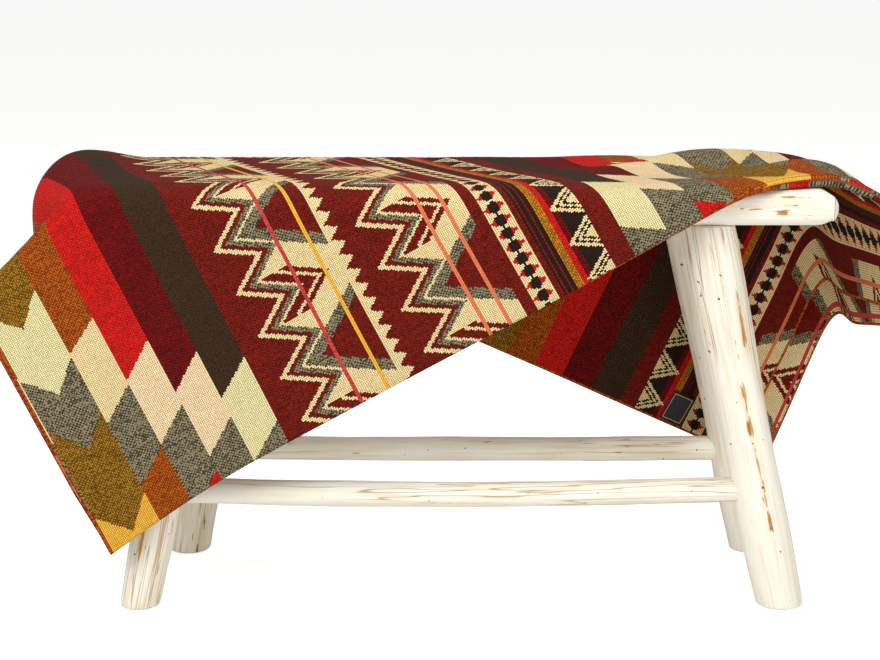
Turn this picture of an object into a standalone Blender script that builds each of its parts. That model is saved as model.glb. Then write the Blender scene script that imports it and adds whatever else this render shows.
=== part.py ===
"""Alpaca wool blanket, folded in half and draped over a white-washed log bench.

Metres, +Z up. The bench stands on z = 0, its front facing -Y. It is modelled about its own
centre, and the whole is moved at the end so that the middle of its box's base is the origin.
The blanket is worked out as a flat cloth laid askew over the unrolled outline of the
seat: x runs along the bench, s runs from the seat's front edge over the top and down
the back, and below zero down the front.
"""
import math

import bmesh
import bpy
import numpy as np
from mathutils import Vector

# Bench
SEAT_LENGTH = 0.862
SEAT_DEPTH = 0.250
SEAT_THICK = 0.040
SEAT_TOP = 0.500
SEAT_EDGE = 0.014
SEAT_END_EDGE = 0.019
SHARP_EDGE = math.radians(60)
LEG_SIDES = 20
GAP = 0.0003

# One row per leg: name, foot x, foot y, top x, top y, foot radius, top radius
LEGS = (
    ("leg_front_left", -0.379, -0.101, -0.285, -0.093, 0.0235, 0.0300),
    ("leg_front_right", 0.3865, -0.097, 0.285, -0.093, 0.0280, 0.0315),
    ("leg_back_left", -0.3475, 0.096, -0.270, 0.093, 0.0270, 0.0300),
    ("leg_back_right", 0.384, 0.096, 0.285, 0.093, 0.0250, 0.0310),
)
LEG_RINGS = 7
LEG_SWELL = 0.0016
LEG_SWELLS = 3

# One row per stretcher: name, left leg, right leg, height, radius, middle sag
STRETCHERS = (
    ("stretcher_front", "leg_front_left", "leg_front_right", 0.1415, 0.0150, 0.006),
    ("stretcher_back", "leg_back_left", "leg_back_right", 0.1360, 0.0155, 0.002),
)
STRETCHER_SIDES = 16
STRETCHER_RINGS = 9
TENON_DEPTH = 0.014

# Blanket: folded size, cloth thickness and how far apart its two layers lie
FOLDED_LENGTH = 1.285
FOLDED_WIDTH = 0.595
FOLD_END = 1.200
UPPER_END_LEAN = 0.130
LOWER_END_LEAN = 0.070
LOWER_END_SHORT = 0.012
START_LEAN = 0.075
CLOTH_THICK = 0.003
LAYER_HALF_GAP = 0.0030
TURN = math.radians(30.0)
CORNER_X = -0.4013
CORNER_S = -0.418
CELLS_LONG = 46
CELLS_LAYER = 20
CELLS_EDGE_FOLD = 2
SMOOTH_LENGTH = 0.016

# The edge fold isn't quite straight: it bows up by this much, and the bow dies out this far in
EDGE_BOW = 0.0140
EDGE_BOW_LEFT = 0.0040
EDGE_BOW_RISE = 0.20
EDGE_BOW_FALL = 0.50
EDGE_BOW_REACH = 0.22

# How the cloth passes the seat's edges
FLAT_CLEAR = 0.0004
EDGE_CLEAR = 0.0068
SETTLED_HALF_DEPTH = 0.060
EDGE_BLEND = 0.08
CLEAR_ROUNDS = 24
LAST_ROUNDS = 4
CELL_SAMPLES = 5
PUSH_SHARE = 1.5
REST = SEAT_TOP + LAYER_HALF_GAP + CLOTH_THICK / 2 + FLAT_CLEAR
FRONT_Y = -0.152
FRONT_RADIUS = 0.025
BACK_Y = 0.139
BACK_RADIUS = 0.021
SIDE_X = 0.434
LEFT_X = 0.430
LEFT_X_SWELL = 0.012
LEFT_RADIUS_MIN = 0.014
LEFT_RADIUS_MAX = 0.054
LEFT_SWELL_REACH = 0.11
FIN_FOLD_RADIUS = 0.010
FIN_START = 0.05
TUCK_DEPTH = 0.03
TUCK_FADE = 0.04
SLACK_PER_METRE = 0.13

# The edge fold stands a little open where it passes the seat's right end
PUFF = 0.0035
PUFF_AT = 0.930
PUFF_LENGTH = 0.085
PUFF_REACH = 0.050

# Past the right end the cloth arches out and hangs like a curtain, up to a crease that runs in from
# the hem, where it meets the sheet down the back with a pleat
LEAVE_HEADING = (0.85, 0.35, -0.25)
HANG_FROM = 1.130
HANG_LEAD = 0.02
HANG_CORNER = (0.560, -0.080)
HANG_HEIGHT = 0.402
HANG_STRETCH = 1.08
HANG_SWELL = (0.006, 0.004, 0.0)
CREASE_U = 1.080
CREASE_V = 0.210
CREASE_SLOPE = 0.95
CREASE_V_MIN = 0.05
PLEAT = (0.0, -0.016, -0.028)
PLEAT_WIDTH = 0.032

# Soft folds, one row each: x, s, heading in degrees, length, width, height
FOLDS = (
    (-0.458, 0.170, 90.0, 0.110, 0.046, 0.022),
    (0.300, 0.190, 28.0, 0.130, 0.038, 0.022),
    (0.400, 0.130, 36.0, 0.085, 0.035, 0.016),
    (0.180, 0.235, 10.0, 0.110, 0.030, 0.007),
    (-0.120, -0.210, 62.0, 0.200, 0.055, 0.004),
    (0.090, 0.430, 66.0, 0.140, 0.040, 0.007),
    (0.340, 0.520, 70.0, 0.160, 0.045, -0.006),
    (0.430, 0.430, 76.0, 0.140, 0.030, 0.012),
)

# Label, on the inner layer beside its back hem
LABEL_SIZE = (0.032, 0.039)
LABEL_AT = (1.113, 0.004)
LABEL_THICK = 0.0010
LABEL_CLEAR = 0.0009

WOOD_COLOUR = (0.84, 0.80, 0.72, 1.0)
CLOTH_COLOUR = (0.26, 0.045, 0.022, 1.0)
LABEL_COLOUR = (0.008, 0.010, 0.020, 1.0)


def clear_scene():
    """Removes the objects that a new file starts with."""
    for item in list(bpy.data.objects):
        bpy.data.objects.remove(item, do_unlink=True)


def material(name, colour, roughness):
    """A plain material."""
    made = bpy.data.materials.new(name)
    made.use_nodes = True
    shader = made.node_tree.nodes["Principled BSDF"]
    shader.inputs["Base Color"].default_value = colour
    shader.inputs["Roughness"].default_value = roughness
    shader.inputs["Metallic"].default_value = 0.0
    return made


def add_object(name, mesh_maker, finish, smooth=False):
    """Turns a bmesh into a named object with its material."""
    mesh = bpy.data.meshes.new(name)
    bmesh.ops.recalc_face_normals(mesh_maker, faces=mesh_maker.faces[:])
    mesh_maker.to_mesh(mesh)
    mesh_maker.free()
    if smooth:
        mesh.shade_smooth()
    mesh.materials.append(finish)
    made = bpy.data.objects.new(name, mesh)
    bpy.context.scene.collection.objects.link(made)
    return made


def build_seat(finish):
    """A thick plank with worn, rounded edges and rounder ends."""
    bm = bmesh.new()
    bmesh.ops.create_cube(bm, size=1.0)
    bmesh.ops.scale(bm, vec=(SEAT_LENGTH, SEAT_DEPTH, SEAT_THICK), verts=bm.verts[:])
    bmesh.ops.translate(bm, vec=(0, 0, SEAT_TOP - SEAT_THICK / 2), verts=bm.verts[:])
    ends = [e for e in bm.edges if abs(e.verts[0].co.x - e.verts[1].co.x) < SEAT_LENGTH / 2]
    bmesh.ops.bevel(
        bm, geom=ends, offset=SEAT_END_EDGE, segments=4, profile=0.5, affect="EDGES", material=-1
    )
    long_edges = [
        e
        for e in bm.edges
        if abs(e.verts[0].co.x - e.verts[1].co.x) > SEAT_LENGTH / 2
        and e.calc_face_angle(0.0) > SHARP_EDGE
    ]
    bmesh.ops.bevel(
        bm, geom=long_edges, offset=SEAT_EDGE, segments=3, profile=0.5, affect="EDGES", material=-1
    )
    return add_object("seat", bm, finish)


def ring(bm, centre, radius, sides, across, along):
    """A ring of points about a centre, in the plane of two directions."""
    points = []
    for i in range(sides):
        turn = 2 * math.pi * i / sides
        points.append(bm.verts.new(centre + radius * (across * math.cos(turn) + along * math.sin(turn))))
    return points


def loft(bm, rings):
    """Closes a run of rings into one solid."""
    for lower, upper in zip(rings, rings[1:]):
        count = len(lower)
        for i in range(count):
            j = (i + 1) % count
            bm.faces.new((lower[i], lower[j], upper[j], upper[i]))
    bm.faces.new(list(reversed(rings[0])))
    bm.faces.new(rings[-1])


def leg_centre(row, height):
    """The centre of a leg's section at a height."""
    _, foot_x, foot_y, top_x, top_y, _, _ = row
    share = height / (SEAT_TOP - SEAT_THICK)
    return Vector((foot_x + (top_x - foot_x) * share, foot_y + (top_y - foot_y) * share, height))


def leg_radius(row, height):
    """A leg's radius at a height, with a slight natural swell."""
    share = height / (SEAT_TOP - SEAT_THICK)
    swell = LEG_SWELL * math.sin(LEG_SWELLS * math.pi * share)
    return row[5] + (row[6] - row[5]) * share + swell


def build_leg(row, finish):
    """A splayed pole, cut level at the floor and under the seat."""
    bm = bmesh.new()
    top = SEAT_TOP - SEAT_THICK - GAP
    rings = []
    for i in range(LEG_RINGS):
        height = top * i / (LEG_RINGS - 1)
        centre = leg_centre(row, height)
        radius = leg_radius(row, height)
        rings.append(ring(bm, centre, radius, LEG_SIDES, Vector((1, 0, 0)), Vector((0, 1, 0))))
    loft(bm, rings)
    return add_object(row[0], bm, finish)


def stretcher_mesh(row, grow):
    """A round rail let into two legs, grown all round for a socket's cutter."""
    _, left_name, right_name, height, radius, sag = row
    legs = {leg[0]: leg for leg in LEGS}
    left = leg_centre(legs[left_name], height)
    right = leg_centre(legs[right_name], height)
    left.x += leg_radius(legs[left_name], height) - TENON_DEPTH - grow
    right.x -= leg_radius(legs[right_name], height) - TENON_DEPTH - grow
    bm = bmesh.new()
    rings = []
    for i in range(STRETCHER_RINGS):
        share = i / (STRETCHER_RINGS - 1)
        centre = left.lerp(right, share) - Vector((0, 0, sag * math.sin(math.pi * share)))
        rings.append(
            ring(bm, centre, radius + grow, STRETCHER_SIDES, Vector((0, 1, 0)), Vector((0, 0, 1)))
        )
    loft(bm, rings)
    return bm


def build_stretcher(row, leg_objects, finish):
    """A rail, and a socket for each of its ends."""
    add_object(row[0], stretcher_mesh(row, 0.0), finish)
    cutter = add_object(row[0] + "_socket", stretcher_mesh(row, GAP), finish)
    cutter.hide_render = True
    cutter.display_type = "WIRE"
    for leg_name in row[1:3]:
        cut = leg_objects[leg_name].modifiers.new("socket", "BOOLEAN")
        cut.operation = "DIFFERENCE"
        cut.solver = "EXACT"
        cut.object = cutter


def smooth_step(value):
    """0 below 0, 1 above 1, and a soft rise between."""
    value = np.clip(value, 0.0, 1.0)
    return value * value * (3 - 2 * value)


def slack(x):
    """Cloth taken up in soft folds on the right half of the seat."""
    return SLACK_PER_METRE * np.maximum(x, 0.0)


def over_seat(x, s):
    """Where the cloth lies between the seat's ends: down the front, over the top, down the back."""
    front_arc = math.pi * FRONT_RADIUS / 4
    back_arc = math.pi * BACK_RADIUS / 4
    flat = (BACK_Y - BACK_RADIUS) - (FRONT_Y + FRONT_RADIUS)
    long_flat = flat + slack(x)
    end = front_arc + long_flat
    turn = np.clip((s + front_arc) / FRONT_RADIUS, 0.0, math.pi / 2)
    drop = np.maximum(-s - front_arc, 0.0)
    y = FRONT_Y + FRONT_RADIUS * (1 - np.cos(turn))
    z = REST - FRONT_RADIUS * (1 - np.sin(turn)) - drop
    y = y + np.clip(s - front_arc, 0.0, long_flat) * flat / long_flat
    turn = np.clip((s - end) / BACK_RADIUS, 0.0, math.pi / 2)
    y = y + BACK_RADIUS * np.sin(turn)
    z = z - BACK_RADIUS * (1 - np.cos(turn)) - np.maximum(s - end - 2 * back_arc, 0.0)
    return np.stack([x, y, z], axis=-1)


def left_end(x, s):
    """The cloth that bulges out past the seat's left end and hangs there."""
    reach = smooth_step(s / LEFT_SWELL_REACH)
    side = LEFT_X + LEFT_X_SWELL * reach
    out = np.maximum(-side - x, 0.0)
    radius = LEFT_RADIUS_MIN + (LEFT_RADIUS_MAX - LEFT_RADIUS_MIN) * reach
    turn = np.clip(out / radius, 0.0, math.pi / 2)
    base = over_seat(np.maximum(x, -side), np.maximum(s, 0.0))
    base[..., 0] -= radius * np.sin(turn)
    base[..., 2] -= radius * (1 - np.cos(turn)) + np.maximum(out - radius * math.pi / 2, 0.0)
    behind = 2 * FIN_FOLD_RADIUS * np.exp(-np.maximum(s, 0.0) / TUCK_FADE)
    base[..., 1] += behind * smooth_step(out / TUCK_DEPTH)
    return base


def front_left_fin(x, s):
    """The spare cloth of the front left corner, a fold whose back half is tucked behind."""
    out = -LEFT_X - x
    down = -s
    along = (out + down) / math.sqrt(2)
    across = (out - down) / math.sqrt(2)
    turn = np.clip(across / FIN_FOLD_RADIUS, -math.pi / 2, math.pi / 2)
    inward = FIN_FOLD_RADIUS * (1 - np.cos(turn))
    inward = inward + np.maximum(np.abs(across) - FIN_FOLD_RADIUS * math.pi / 2, 0.0)
    depth = FIN_FOLD_RADIUS * (1 + np.sin(turn))
    front = over_seat(x, s)
    folded = np.stack(
        [
            -LEFT_X + (inward - along) / math.sqrt(2),
            FRONT_Y + depth,
            REST - (inward + along) / math.sqrt(2),
        ],
        axis=-1,
    )
    near = smooth_step((out + down) / FIN_START)[..., None]
    return front * (1 - near) + folded * near


def unrolled(u, v):
    """Place along the bench and distance over it, from a place on the folded cloth."""
    x = CORNER_X + u * math.cos(TURN) - v * math.sin(TURN)
    s = CORNER_S + u * math.sin(TURN) + v * math.cos(TURN)
    return x, s


def hanging(u, v):
    """The upright part of the curtain past the right end, from its front corner to the crease."""
    inner = np.maximum(CREASE_V + CREASE_SLOPE * (u - CREASE_U), CREASE_V_MIN)
    share = np.clip(v / inner, 0.0, 1.0)[..., None]
    low = np.maximum(u - HANG_FROM, 0.0) * (HANG_STRETCH - 1)
    near = over_seat(*unrolled(u, inner)) - np.stack([0 * u, 0 * u, low], axis=-1) * (1 - share)
    height = HANG_HEIGHT - (u - HANG_FROM) - low
    far = np.stack([np.full_like(u, HANG_CORNER[0]), np.full_like(u, HANG_CORNER[1]), height], axis=-1)
    swell = np.sin(math.pi * share) * np.array(HANG_SWELL)
    pleat = smooth_step((inner - v) / PLEAT_WIDTH)[..., None] * share * np.array(PLEAT)
    return far * (1 - share) + near * share + swell + pleat


def arched(start, out, end, down, share):
    """Points along an arch from a start to an end, with its headings there."""
    near = (2 * share**3 - 3 * share**2 + 1) * start + (share**3 - 2 * share**2 + share) * out
    return near + (3 * share**2 - 2 * share**3) * end + (share**3 - share**2) * down


def curtain(u, v):
    """The double cloth past the right end: it arches out over the end and hangs there."""
    leave = (SIDE_X - CORNER_X + v * math.sin(TURN)) / math.cos(TURN)
    start = over_seat(np.full_like(v, SIDE_X), unrolled(leave, v)[1])
    top = np.maximum(HANG_FROM, leave + HANG_LEAD)
    length = (top - leave)[..., None]
    share = np.clip((u - leave) / (top - leave), 0.0, 1.0)[..., None]
    down = np.array([0.0, 0.0, -1.0]) * length
    arch = arched(start, np.array(LEAVE_HEADING) * length, hanging(top, v), down, share)
    return np.where((u < top)[..., None], arch, hanging(np.maximum(u, top), v))


def laid_cloth(u, v):
    """The middle of the folded cloth, from its place along the edge fold and its distance from it."""
    x, s = unrolled(u, v)
    crease = CREASE_V + CREASE_SLOPE * (u - CREASE_U)
    place = over_seat(x, s)
    for chosen, shape, where in (
        ((x < -LEFT_X) & (s >= 0), left_end, (x, s)),
        ((x < -LEFT_X) & (s < 0), front_left_fin, (x, s)),
        ((x > SIDE_X) & (v < crease), curtain, (u, v)),
    ):
        place = np.where(chosen[..., None], shape(*where), place)
    return x, s, place


def normals(place):
    """Unit normals of a grid of points, pointing away from the bench."""
    along = np.gradient(place, axis=0)
    across = np.gradient(place, axis=1)
    found = np.cross(along, across)
    return found / np.maximum(np.linalg.norm(found, axis=-1, keepdims=True), 1e-12)


def bordered(place):
    """The grid with one more row or column all round, carried straight on."""
    before, after = 2 * place[:1] - place[1:2], 2 * place[-1:] - place[-2:-1]
    grown = np.concatenate([before, place, after], axis=0)
    before, after = 2 * grown[:, :1] - grown[:, 1:2], 2 * grown[:, -1:] - grown[:, -2:-1]
    return np.concatenate([before, grown, after], axis=1)


def smoothed(place, passes):
    """The grid with each point drawn towards its neighbours."""
    for _ in range(passes):
        grown = bordered(place)
        near = grown[:-2, 1:-1] + grown[2:, 1:-1] + grown[1:-1, :-2] + grown[1:-1, 2:]
        place = 0.5 * place + 0.125 * near
    return place


def seat_push(point):
    """How far, and which way, points of the middle surface have to move to clear the seat."""
    half = np.array([SEAT_LENGTH / 2, SEAT_DEPTH / 2, SEAT_THICK / 2]) - SEAT_EDGE
    offset = point - np.array([0.0, 0.0, SEAT_TOP - SEAT_THICK / 2])
    beyond = np.maximum(np.abs(offset) - half, 0.0)
    reach = np.maximum(np.linalg.norm(beyond, axis=-1, keepdims=True), 1e-9)
    away = beyond / reach * np.where(offset < 0, -1.0, 1.0)
    edge = np.clip((1 - np.abs(away).max(axis=-1, keepdims=True)) / EDGE_BLEND, 0.0, 1.0)
    clear = FLAT_CLEAR + (EDGE_CLEAR - FLAT_CLEAR) * edge
    needed = SEAT_EDGE + LAYER_HALF_GAP + CLOTH_THICK / 2 + clear
    return away * np.maximum(needed - reach, 0.0)


def corner_weights(a, b):
    """The four corners of a cell, and how much each counts at a place inside it."""
    return (((0, 0), (1 - a) * (1 - b)), ((1, 0), a * (1 - b)), ((0, 1), (1 - a) * b), ((1, 1), a * b))


def cell_push(place, a, b, push):
    """Raises each corner's push to what its cells need at one place inside them."""
    rows, columns = place.shape[0] - 1, place.shape[1] - 1
    weights = corner_weights(a, b)
    point = sum(place[i : i + rows, j : j + columns] * weight for (i, j), weight in weights)
    step = seat_push(point)
    for (i, j), weight in weights:
        part = push[i : i + rows, j : j + columns]
        mine = step * min(1.0, PUSH_SHARE * weight)
        longer = np.linalg.norm(mine, axis=-1) > np.linalg.norm(part, axis=-1)
        part[longer] = mine[longer]


def cleared(place):
    """The grid with its cells pushed clear of the seat, also between their corners."""
    shares = np.linspace(0.0, 1.0, CELL_SAMPLES)
    start = place
    for turn in range(CLEAR_ROUNDS):
        if turn < CLEAR_ROUNDS - LAST_ROUNDS:
            place = start + smoothed(place - start, 2)
        push = np.zeros_like(place)
        for a in shares:
            for b in shares:
                cell_push(place, a, b, push)
        place = place + push
    return place


def settled(place):
    """The grid let down until the cloth touches the middle of the seat."""
    over = (np.abs(place[..., 0]) < SEAT_LENGTH / 2) & (np.abs(place[..., 1]) < SETTLED_HALF_DEPTH)
    spare = place[over][:, 2].min() - REST
    return place - np.array([0.0, 0.0, spare])


def fold_height(x, s):
    """How far the soft folds lift the cloth."""
    height = np.zeros_like(x)
    for at_x, at_s, heading, length, width, rise in FOLDS:
        cos, sin = math.cos(math.radians(heading)), math.sin(math.radians(heading))
        along = (x - at_x) * cos + (s - at_s) * sin
        across = (s - at_s) * cos - (x - at_x) * sin
        height += rise * np.exp(-((along / length) ** 2) - (across / width) ** 2)
    return height


def middle_grid(cells_long, cells_wide):
    """The folded cloth's middle surface as a grid, with its normals."""
    share_u = np.linspace(0.0, 1.0, cells_long + 1)
    share_v = np.linspace(0.0, 1.0, cells_wide + 1)
    u, v = np.meshgrid(share_u * FOLDED_LENGTH, share_v * FOLDED_WIDTH, indexing="ij")
    x, s, place = laid_cloth(u, v)
    cell = FOLDED_LENGTH / cells_long
    passes = max(1, round((SMOOTH_LENGTH / cell) ** 2 * 4))
    place = smoothed(place, passes)
    place = place + normals(place) * fold_height(x, s)[..., None]
    place = settled(cleared(place))
    return place, normals(place)


def at_grid(grid, u, v):
    """A grid's value at a place between its points."""
    rows, columns = grid.shape[0] - 1, grid.shape[1] - 1
    i = np.clip(u / FOLDED_LENGTH * rows, 0, rows)
    j = np.clip(v / FOLDED_WIDTH * columns, 0, columns)
    i0, j0 = np.minimum(i.astype(int), rows - 1), np.minimum(j.astype(int), columns - 1)
    fi, fj = (i - i0)[..., None], (j - j0)[..., None]
    near = grid[i0, j0] * (1 - fi) + grid[i0 + 1, j0] * fi
    far = grid[i0, j0 + 1] * (1 - fi) + grid[i0 + 1, j0 + 1] * fi
    return near * (1 - fj) + far * fj


def across_layers():
    """Distance across the open cloth at each grid line: lower hem, lower layer, edge fold, upper layer."""
    half_turn = LAYER_HALF_GAP * math.pi / 2
    layer = np.linspace(half_turn, FOLDED_WIDTH + half_turn - LAYER_HALF_GAP, CELLS_LAYER + 1)
    turn = np.linspace(-half_turn, half_turn, CELLS_EDGE_FOLD + 1)[1:-1]
    return np.concatenate([-layer[::-1], turn, layer])


def edge_bow(u):
    """How far the edge fold bows up the cloth, along its length."""
    rise = np.sin(math.pi / 2 * np.clip(u / EDGE_BOW_RISE, 0.0, 1.0))
    fall = smooth_step((u - EDGE_BOW_RISE) / EDGE_BOW_FALL)
    return EDGE_BOW * rise - (EDGE_BOW - EDGE_BOW_LEFT) * fall


def cloth_places(w):
    """Where the points of the cloth lie on its middle surface, for each distance across it."""
    half_turn = LAYER_HALF_GAP * math.pi / 2
    turn = np.clip(w / LAYER_HALF_GAP, -math.pi / 2, math.pi / 2)
    v = LAYER_HALF_GAP * (1 - np.cos(turn)) + np.maximum(np.abs(w) - half_turn, 0.0)
    start = START_LEAN * v
    end = FOLD_END + np.where(w > 0, UPPER_END_LEAN * v, LOWER_END_LEAN * v - LOWER_END_SHORT)
    share = np.linspace(0.0, 1.0, CELLS_LONG + 1)
    u = start + share[:, None] * (end - start)
    v = v + edge_bow(u) * np.maximum(1 - v / EDGE_BOW_REACH, 0.0)
    puff = PUFF * np.exp(-(((u - PUFF_AT) / PUFF_LENGTH) ** 2) - (v / PUFF_REACH) ** 2)
    return u, v, puff + (LAYER_HALF_GAP + puff) * np.sin(turn)


def cloth_points(place, normal):
    """Both layers of the cloth and the fold between them, as a grid of points."""
    u, v, height = cloth_places(across_layers())
    direction = at_grid(normal, u, v)
    direction = direction / np.linalg.norm(direction, axis=-1, keepdims=True)
    return at_grid(place, u, v) + direction * height[..., None]


def grid_mesh(points):
    """An open mesh of four-sided faces over a grid of points."""
    bm = bmesh.new()
    verts = [[bm.verts.new(point) for point in row] for row in points]
    for near, far in zip(verts, verts[1:]):
        for j in range(len(near) - 1):
            bm.faces.new((near[j], far[j], far[j + 1], near[j + 1]))
    return bm


def add_sheet(name, points, thick, finish):
    """A sheet of even thickness about a grid of points."""
    sheet = add_object(name, grid_mesh(points), finish, smooth=True)
    wall = sheet.modifiers.new("thickness", "SOLIDIFY")
    wall.thickness = thick
    wall.offset = 0.0
    wall.use_even_offset = False
    return sheet


def build_blanket(place, normal, finish):
    """The folded cloth."""
    return add_sheet("blanket", cloth_points(place, normal), CLOTH_THICK, finish)


def build_label(place, normal, finish):
    """The small woven label, sewn on the inner layer beside its hem."""
    along = np.linspace(0.0, LABEL_SIZE[0], 3) + LABEL_AT[0]
    away = FOLDED_WIDTH - LABEL_AT[1] - np.linspace(0.0, LABEL_SIZE[1], 3)
    u, v = np.meshgrid(along, away, indexing="ij")
    lift = LAYER_HALF_GAP + CLOTH_THICK / 2 + LABEL_CLEAR + LABEL_THICK / 2
    points = at_grid(place, u, v) - at_grid(normal, u, v) * lift
    return add_sheet("label", points, LABEL_THICK, finish)


def centre_on_floor():
    """Moves the whole part so that the middle of its box's base is the origin."""
    bpy.context.view_layer.update()
    depsgraph = bpy.context.evaluated_depsgraph_get()
    shown = [item for item in bpy.data.objects if not item.hide_render]
    corners = [corner for item in shown for corner in item.evaluated_get(depsgraph).bound_box]
    low, high = np.min(corners, axis=0), np.max(corners, axis=0)
    move = Vector((-(low[0] + high[0]) / 2, -(low[1] + high[1]) / 2, 0.0))
    for item in bpy.data.objects:
        item.location += move


def build():
    """The whole part."""
    clear_scene()
    wood = material("whitewashed_wood", WOOD_COLOUR, 0.75)
    wool = material("alpaca_wool", CLOTH_COLOUR, 0.95)
    badge = material("woven_label", LABEL_COLOUR, 0.85)
    build_seat(wood)
    leg_objects = {row[0]: build_leg(row, wood) for row in LEGS}
    for row in STRETCHERS:
        build_stretcher(row, leg_objects, wood)
    place, normal = middle_grid(CELLS_LONG, CELLS_LAYER)
    build_blanket(place, normal, wool)
    build_label(place, normal, badge)
    centre_on_floor()


build()
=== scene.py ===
"""An alpaca wool blanket, folded in half and draped askew over a white-washed log bench.

Everything is in metres, +Z up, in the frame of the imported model. Shapes are worked out
about the bench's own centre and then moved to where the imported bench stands.
"""
from __future__ import annotations

import logging
import math
from collections.abc import Callable
from dataclasses import dataclass
from enum import IntEnum

import bmesh
import bpy
import numpy as np
from mathutils import Euler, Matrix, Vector, noise


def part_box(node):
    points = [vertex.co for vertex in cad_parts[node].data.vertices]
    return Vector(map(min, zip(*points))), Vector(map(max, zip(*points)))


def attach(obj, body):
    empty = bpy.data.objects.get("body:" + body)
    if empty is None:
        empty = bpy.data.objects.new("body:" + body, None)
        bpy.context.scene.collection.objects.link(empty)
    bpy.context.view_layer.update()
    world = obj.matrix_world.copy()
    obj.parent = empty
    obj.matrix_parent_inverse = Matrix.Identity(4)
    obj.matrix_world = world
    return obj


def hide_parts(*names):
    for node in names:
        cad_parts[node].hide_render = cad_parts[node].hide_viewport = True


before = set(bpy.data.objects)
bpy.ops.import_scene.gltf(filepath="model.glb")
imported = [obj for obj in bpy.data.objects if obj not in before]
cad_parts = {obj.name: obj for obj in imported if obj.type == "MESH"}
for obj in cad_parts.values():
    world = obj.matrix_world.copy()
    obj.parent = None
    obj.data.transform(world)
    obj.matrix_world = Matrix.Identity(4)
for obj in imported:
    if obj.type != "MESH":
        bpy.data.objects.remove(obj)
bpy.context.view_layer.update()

LOG = logging.getLogger("scene")
BODY = "root"
Rgb = tuple[float, float, float]
Triple = tuple[float, float, float]
Rgba = tuple[float, float, float, float]
Span = tuple[float, float]


def seat_centre() -> Vector:
    """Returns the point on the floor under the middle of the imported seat."""
    low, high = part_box("seat")
    return Vector(((low[0] + high[0]) / 2, (low[1] + high[1]) / 2, 0.0))


BENCH = seat_centre()


class Weave(IntEnum):
    """Which colour a stitch of the blanket has, as its place in the palette."""

    FIELD = 0
    CREAM = 1
    GREY = 2
    OLIVE = 3
    ORANGE = 4
    RED = 5
    CRIMSON = 6
    BROWN = 7
    YELLOW = 8
    PINK_CREAM = 9
    BLACK = 10
    CRIMSON_LINE = 11
    YELLOW_LINE = 12
    ORANGE_LINE = 13
    OCHRE = 14
    SMALL_RED = 15
    GREEN_CREAM = 16


@dataclass(frozen=True)
class Yarn:
    """A stitch colour and the second colour that flecks it.

    Attributes:
        main: the colour of most stitches, sRGB from 0 to 1.
        fleck: the colour of the flecks.
        share: how strongly the flecks show, from 0 to 1.
    """

    main: Rgb
    fleck: Rgb
    share: float


PALETTE: dict[Weave, Yarn] = {
    Weave.FIELD: Yarn((0.56, 0.105, 0.05), (0.25, 0.035, 0.02), 0.80),
    Weave.CREAM: Yarn((1.0, 0.93, 0.70), (0.86, 0.67, 0.42), 0.42),
    Weave.GREY: Yarn((0.12, 0.11, 0.09), (0.63, 0.585, 0.45), 0.88),
    Weave.OLIVE: Yarn((0.70, 0.50, 0.10), (0.30, 0.20, 0.06), 0.85),
    Weave.ORANGE: Yarn((0.80, 0.38, 0.05), (0.38, 0.17, 0.03), 0.80),
    Weave.RED: Yarn((0.94, 0.115, 0.095), (0.62, 0.05, 0.05), 0.80),
    Weave.CRIMSON: Yarn((0.52, 0.015, 0.04), (0.24, 0.01, 0.02), 0.85),
    Weave.BROWN: Yarn((0.15, 0.10, 0.06), (0.36, 0.25, 0.16), 0.30),
    Weave.YELLOW: Yarn((1.0, 0.79, 0.31), (0.88, 0.58, 0.16), 0.60),
    Weave.PINK_CREAM: Yarn((1.0, 0.93, 0.74), (0.93, 0.70, 0.52), 0.45),
    Weave.BLACK: Yarn((0.09, 0.06, 0.05), (0.20, 0.14, 0.11), 0.35),
    Weave.CRIMSON_LINE: Yarn((0.78, 0.12, 0.16), (0.88, 0.46, 0.40), 0.40),
    Weave.YELLOW_LINE: Yarn((1.0, 0.76, 0.25), (0.95, 0.64, 0.25), 0.20),
    Weave.ORANGE_LINE: Yarn((0.96, 0.44, 0.28), (0.92, 0.62, 0.42), 0.40),
    Weave.OCHRE: Yarn((0.86, 0.54, 0.08), (0.42, 0.28, 0.08), 0.75),
    Weave.SMALL_RED: Yarn((0.84, 0.11, 0.14), (0.56, 0.06, 0.08), 0.40),
    Weave.GREEN_CREAM: Yarn((0.99, 0.94, 0.72), (0.80, 0.74, 0.45), 0.38),
}


def linear(colour: Rgb) -> Rgba:
    """Turns an sRGB colour into the linear colour that shaders take.

    Args:
        colour: sRGB, each from 0 to 1.

    Returns:
        The linear colour with an alpha of 1.
    """
    made = [c / 12.92 if c <= 0.04045 else ((c + 0.055) / 1.055) ** 2.4 for c in colour]
    return (made[0], made[1], made[2], 1.0)


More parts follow.
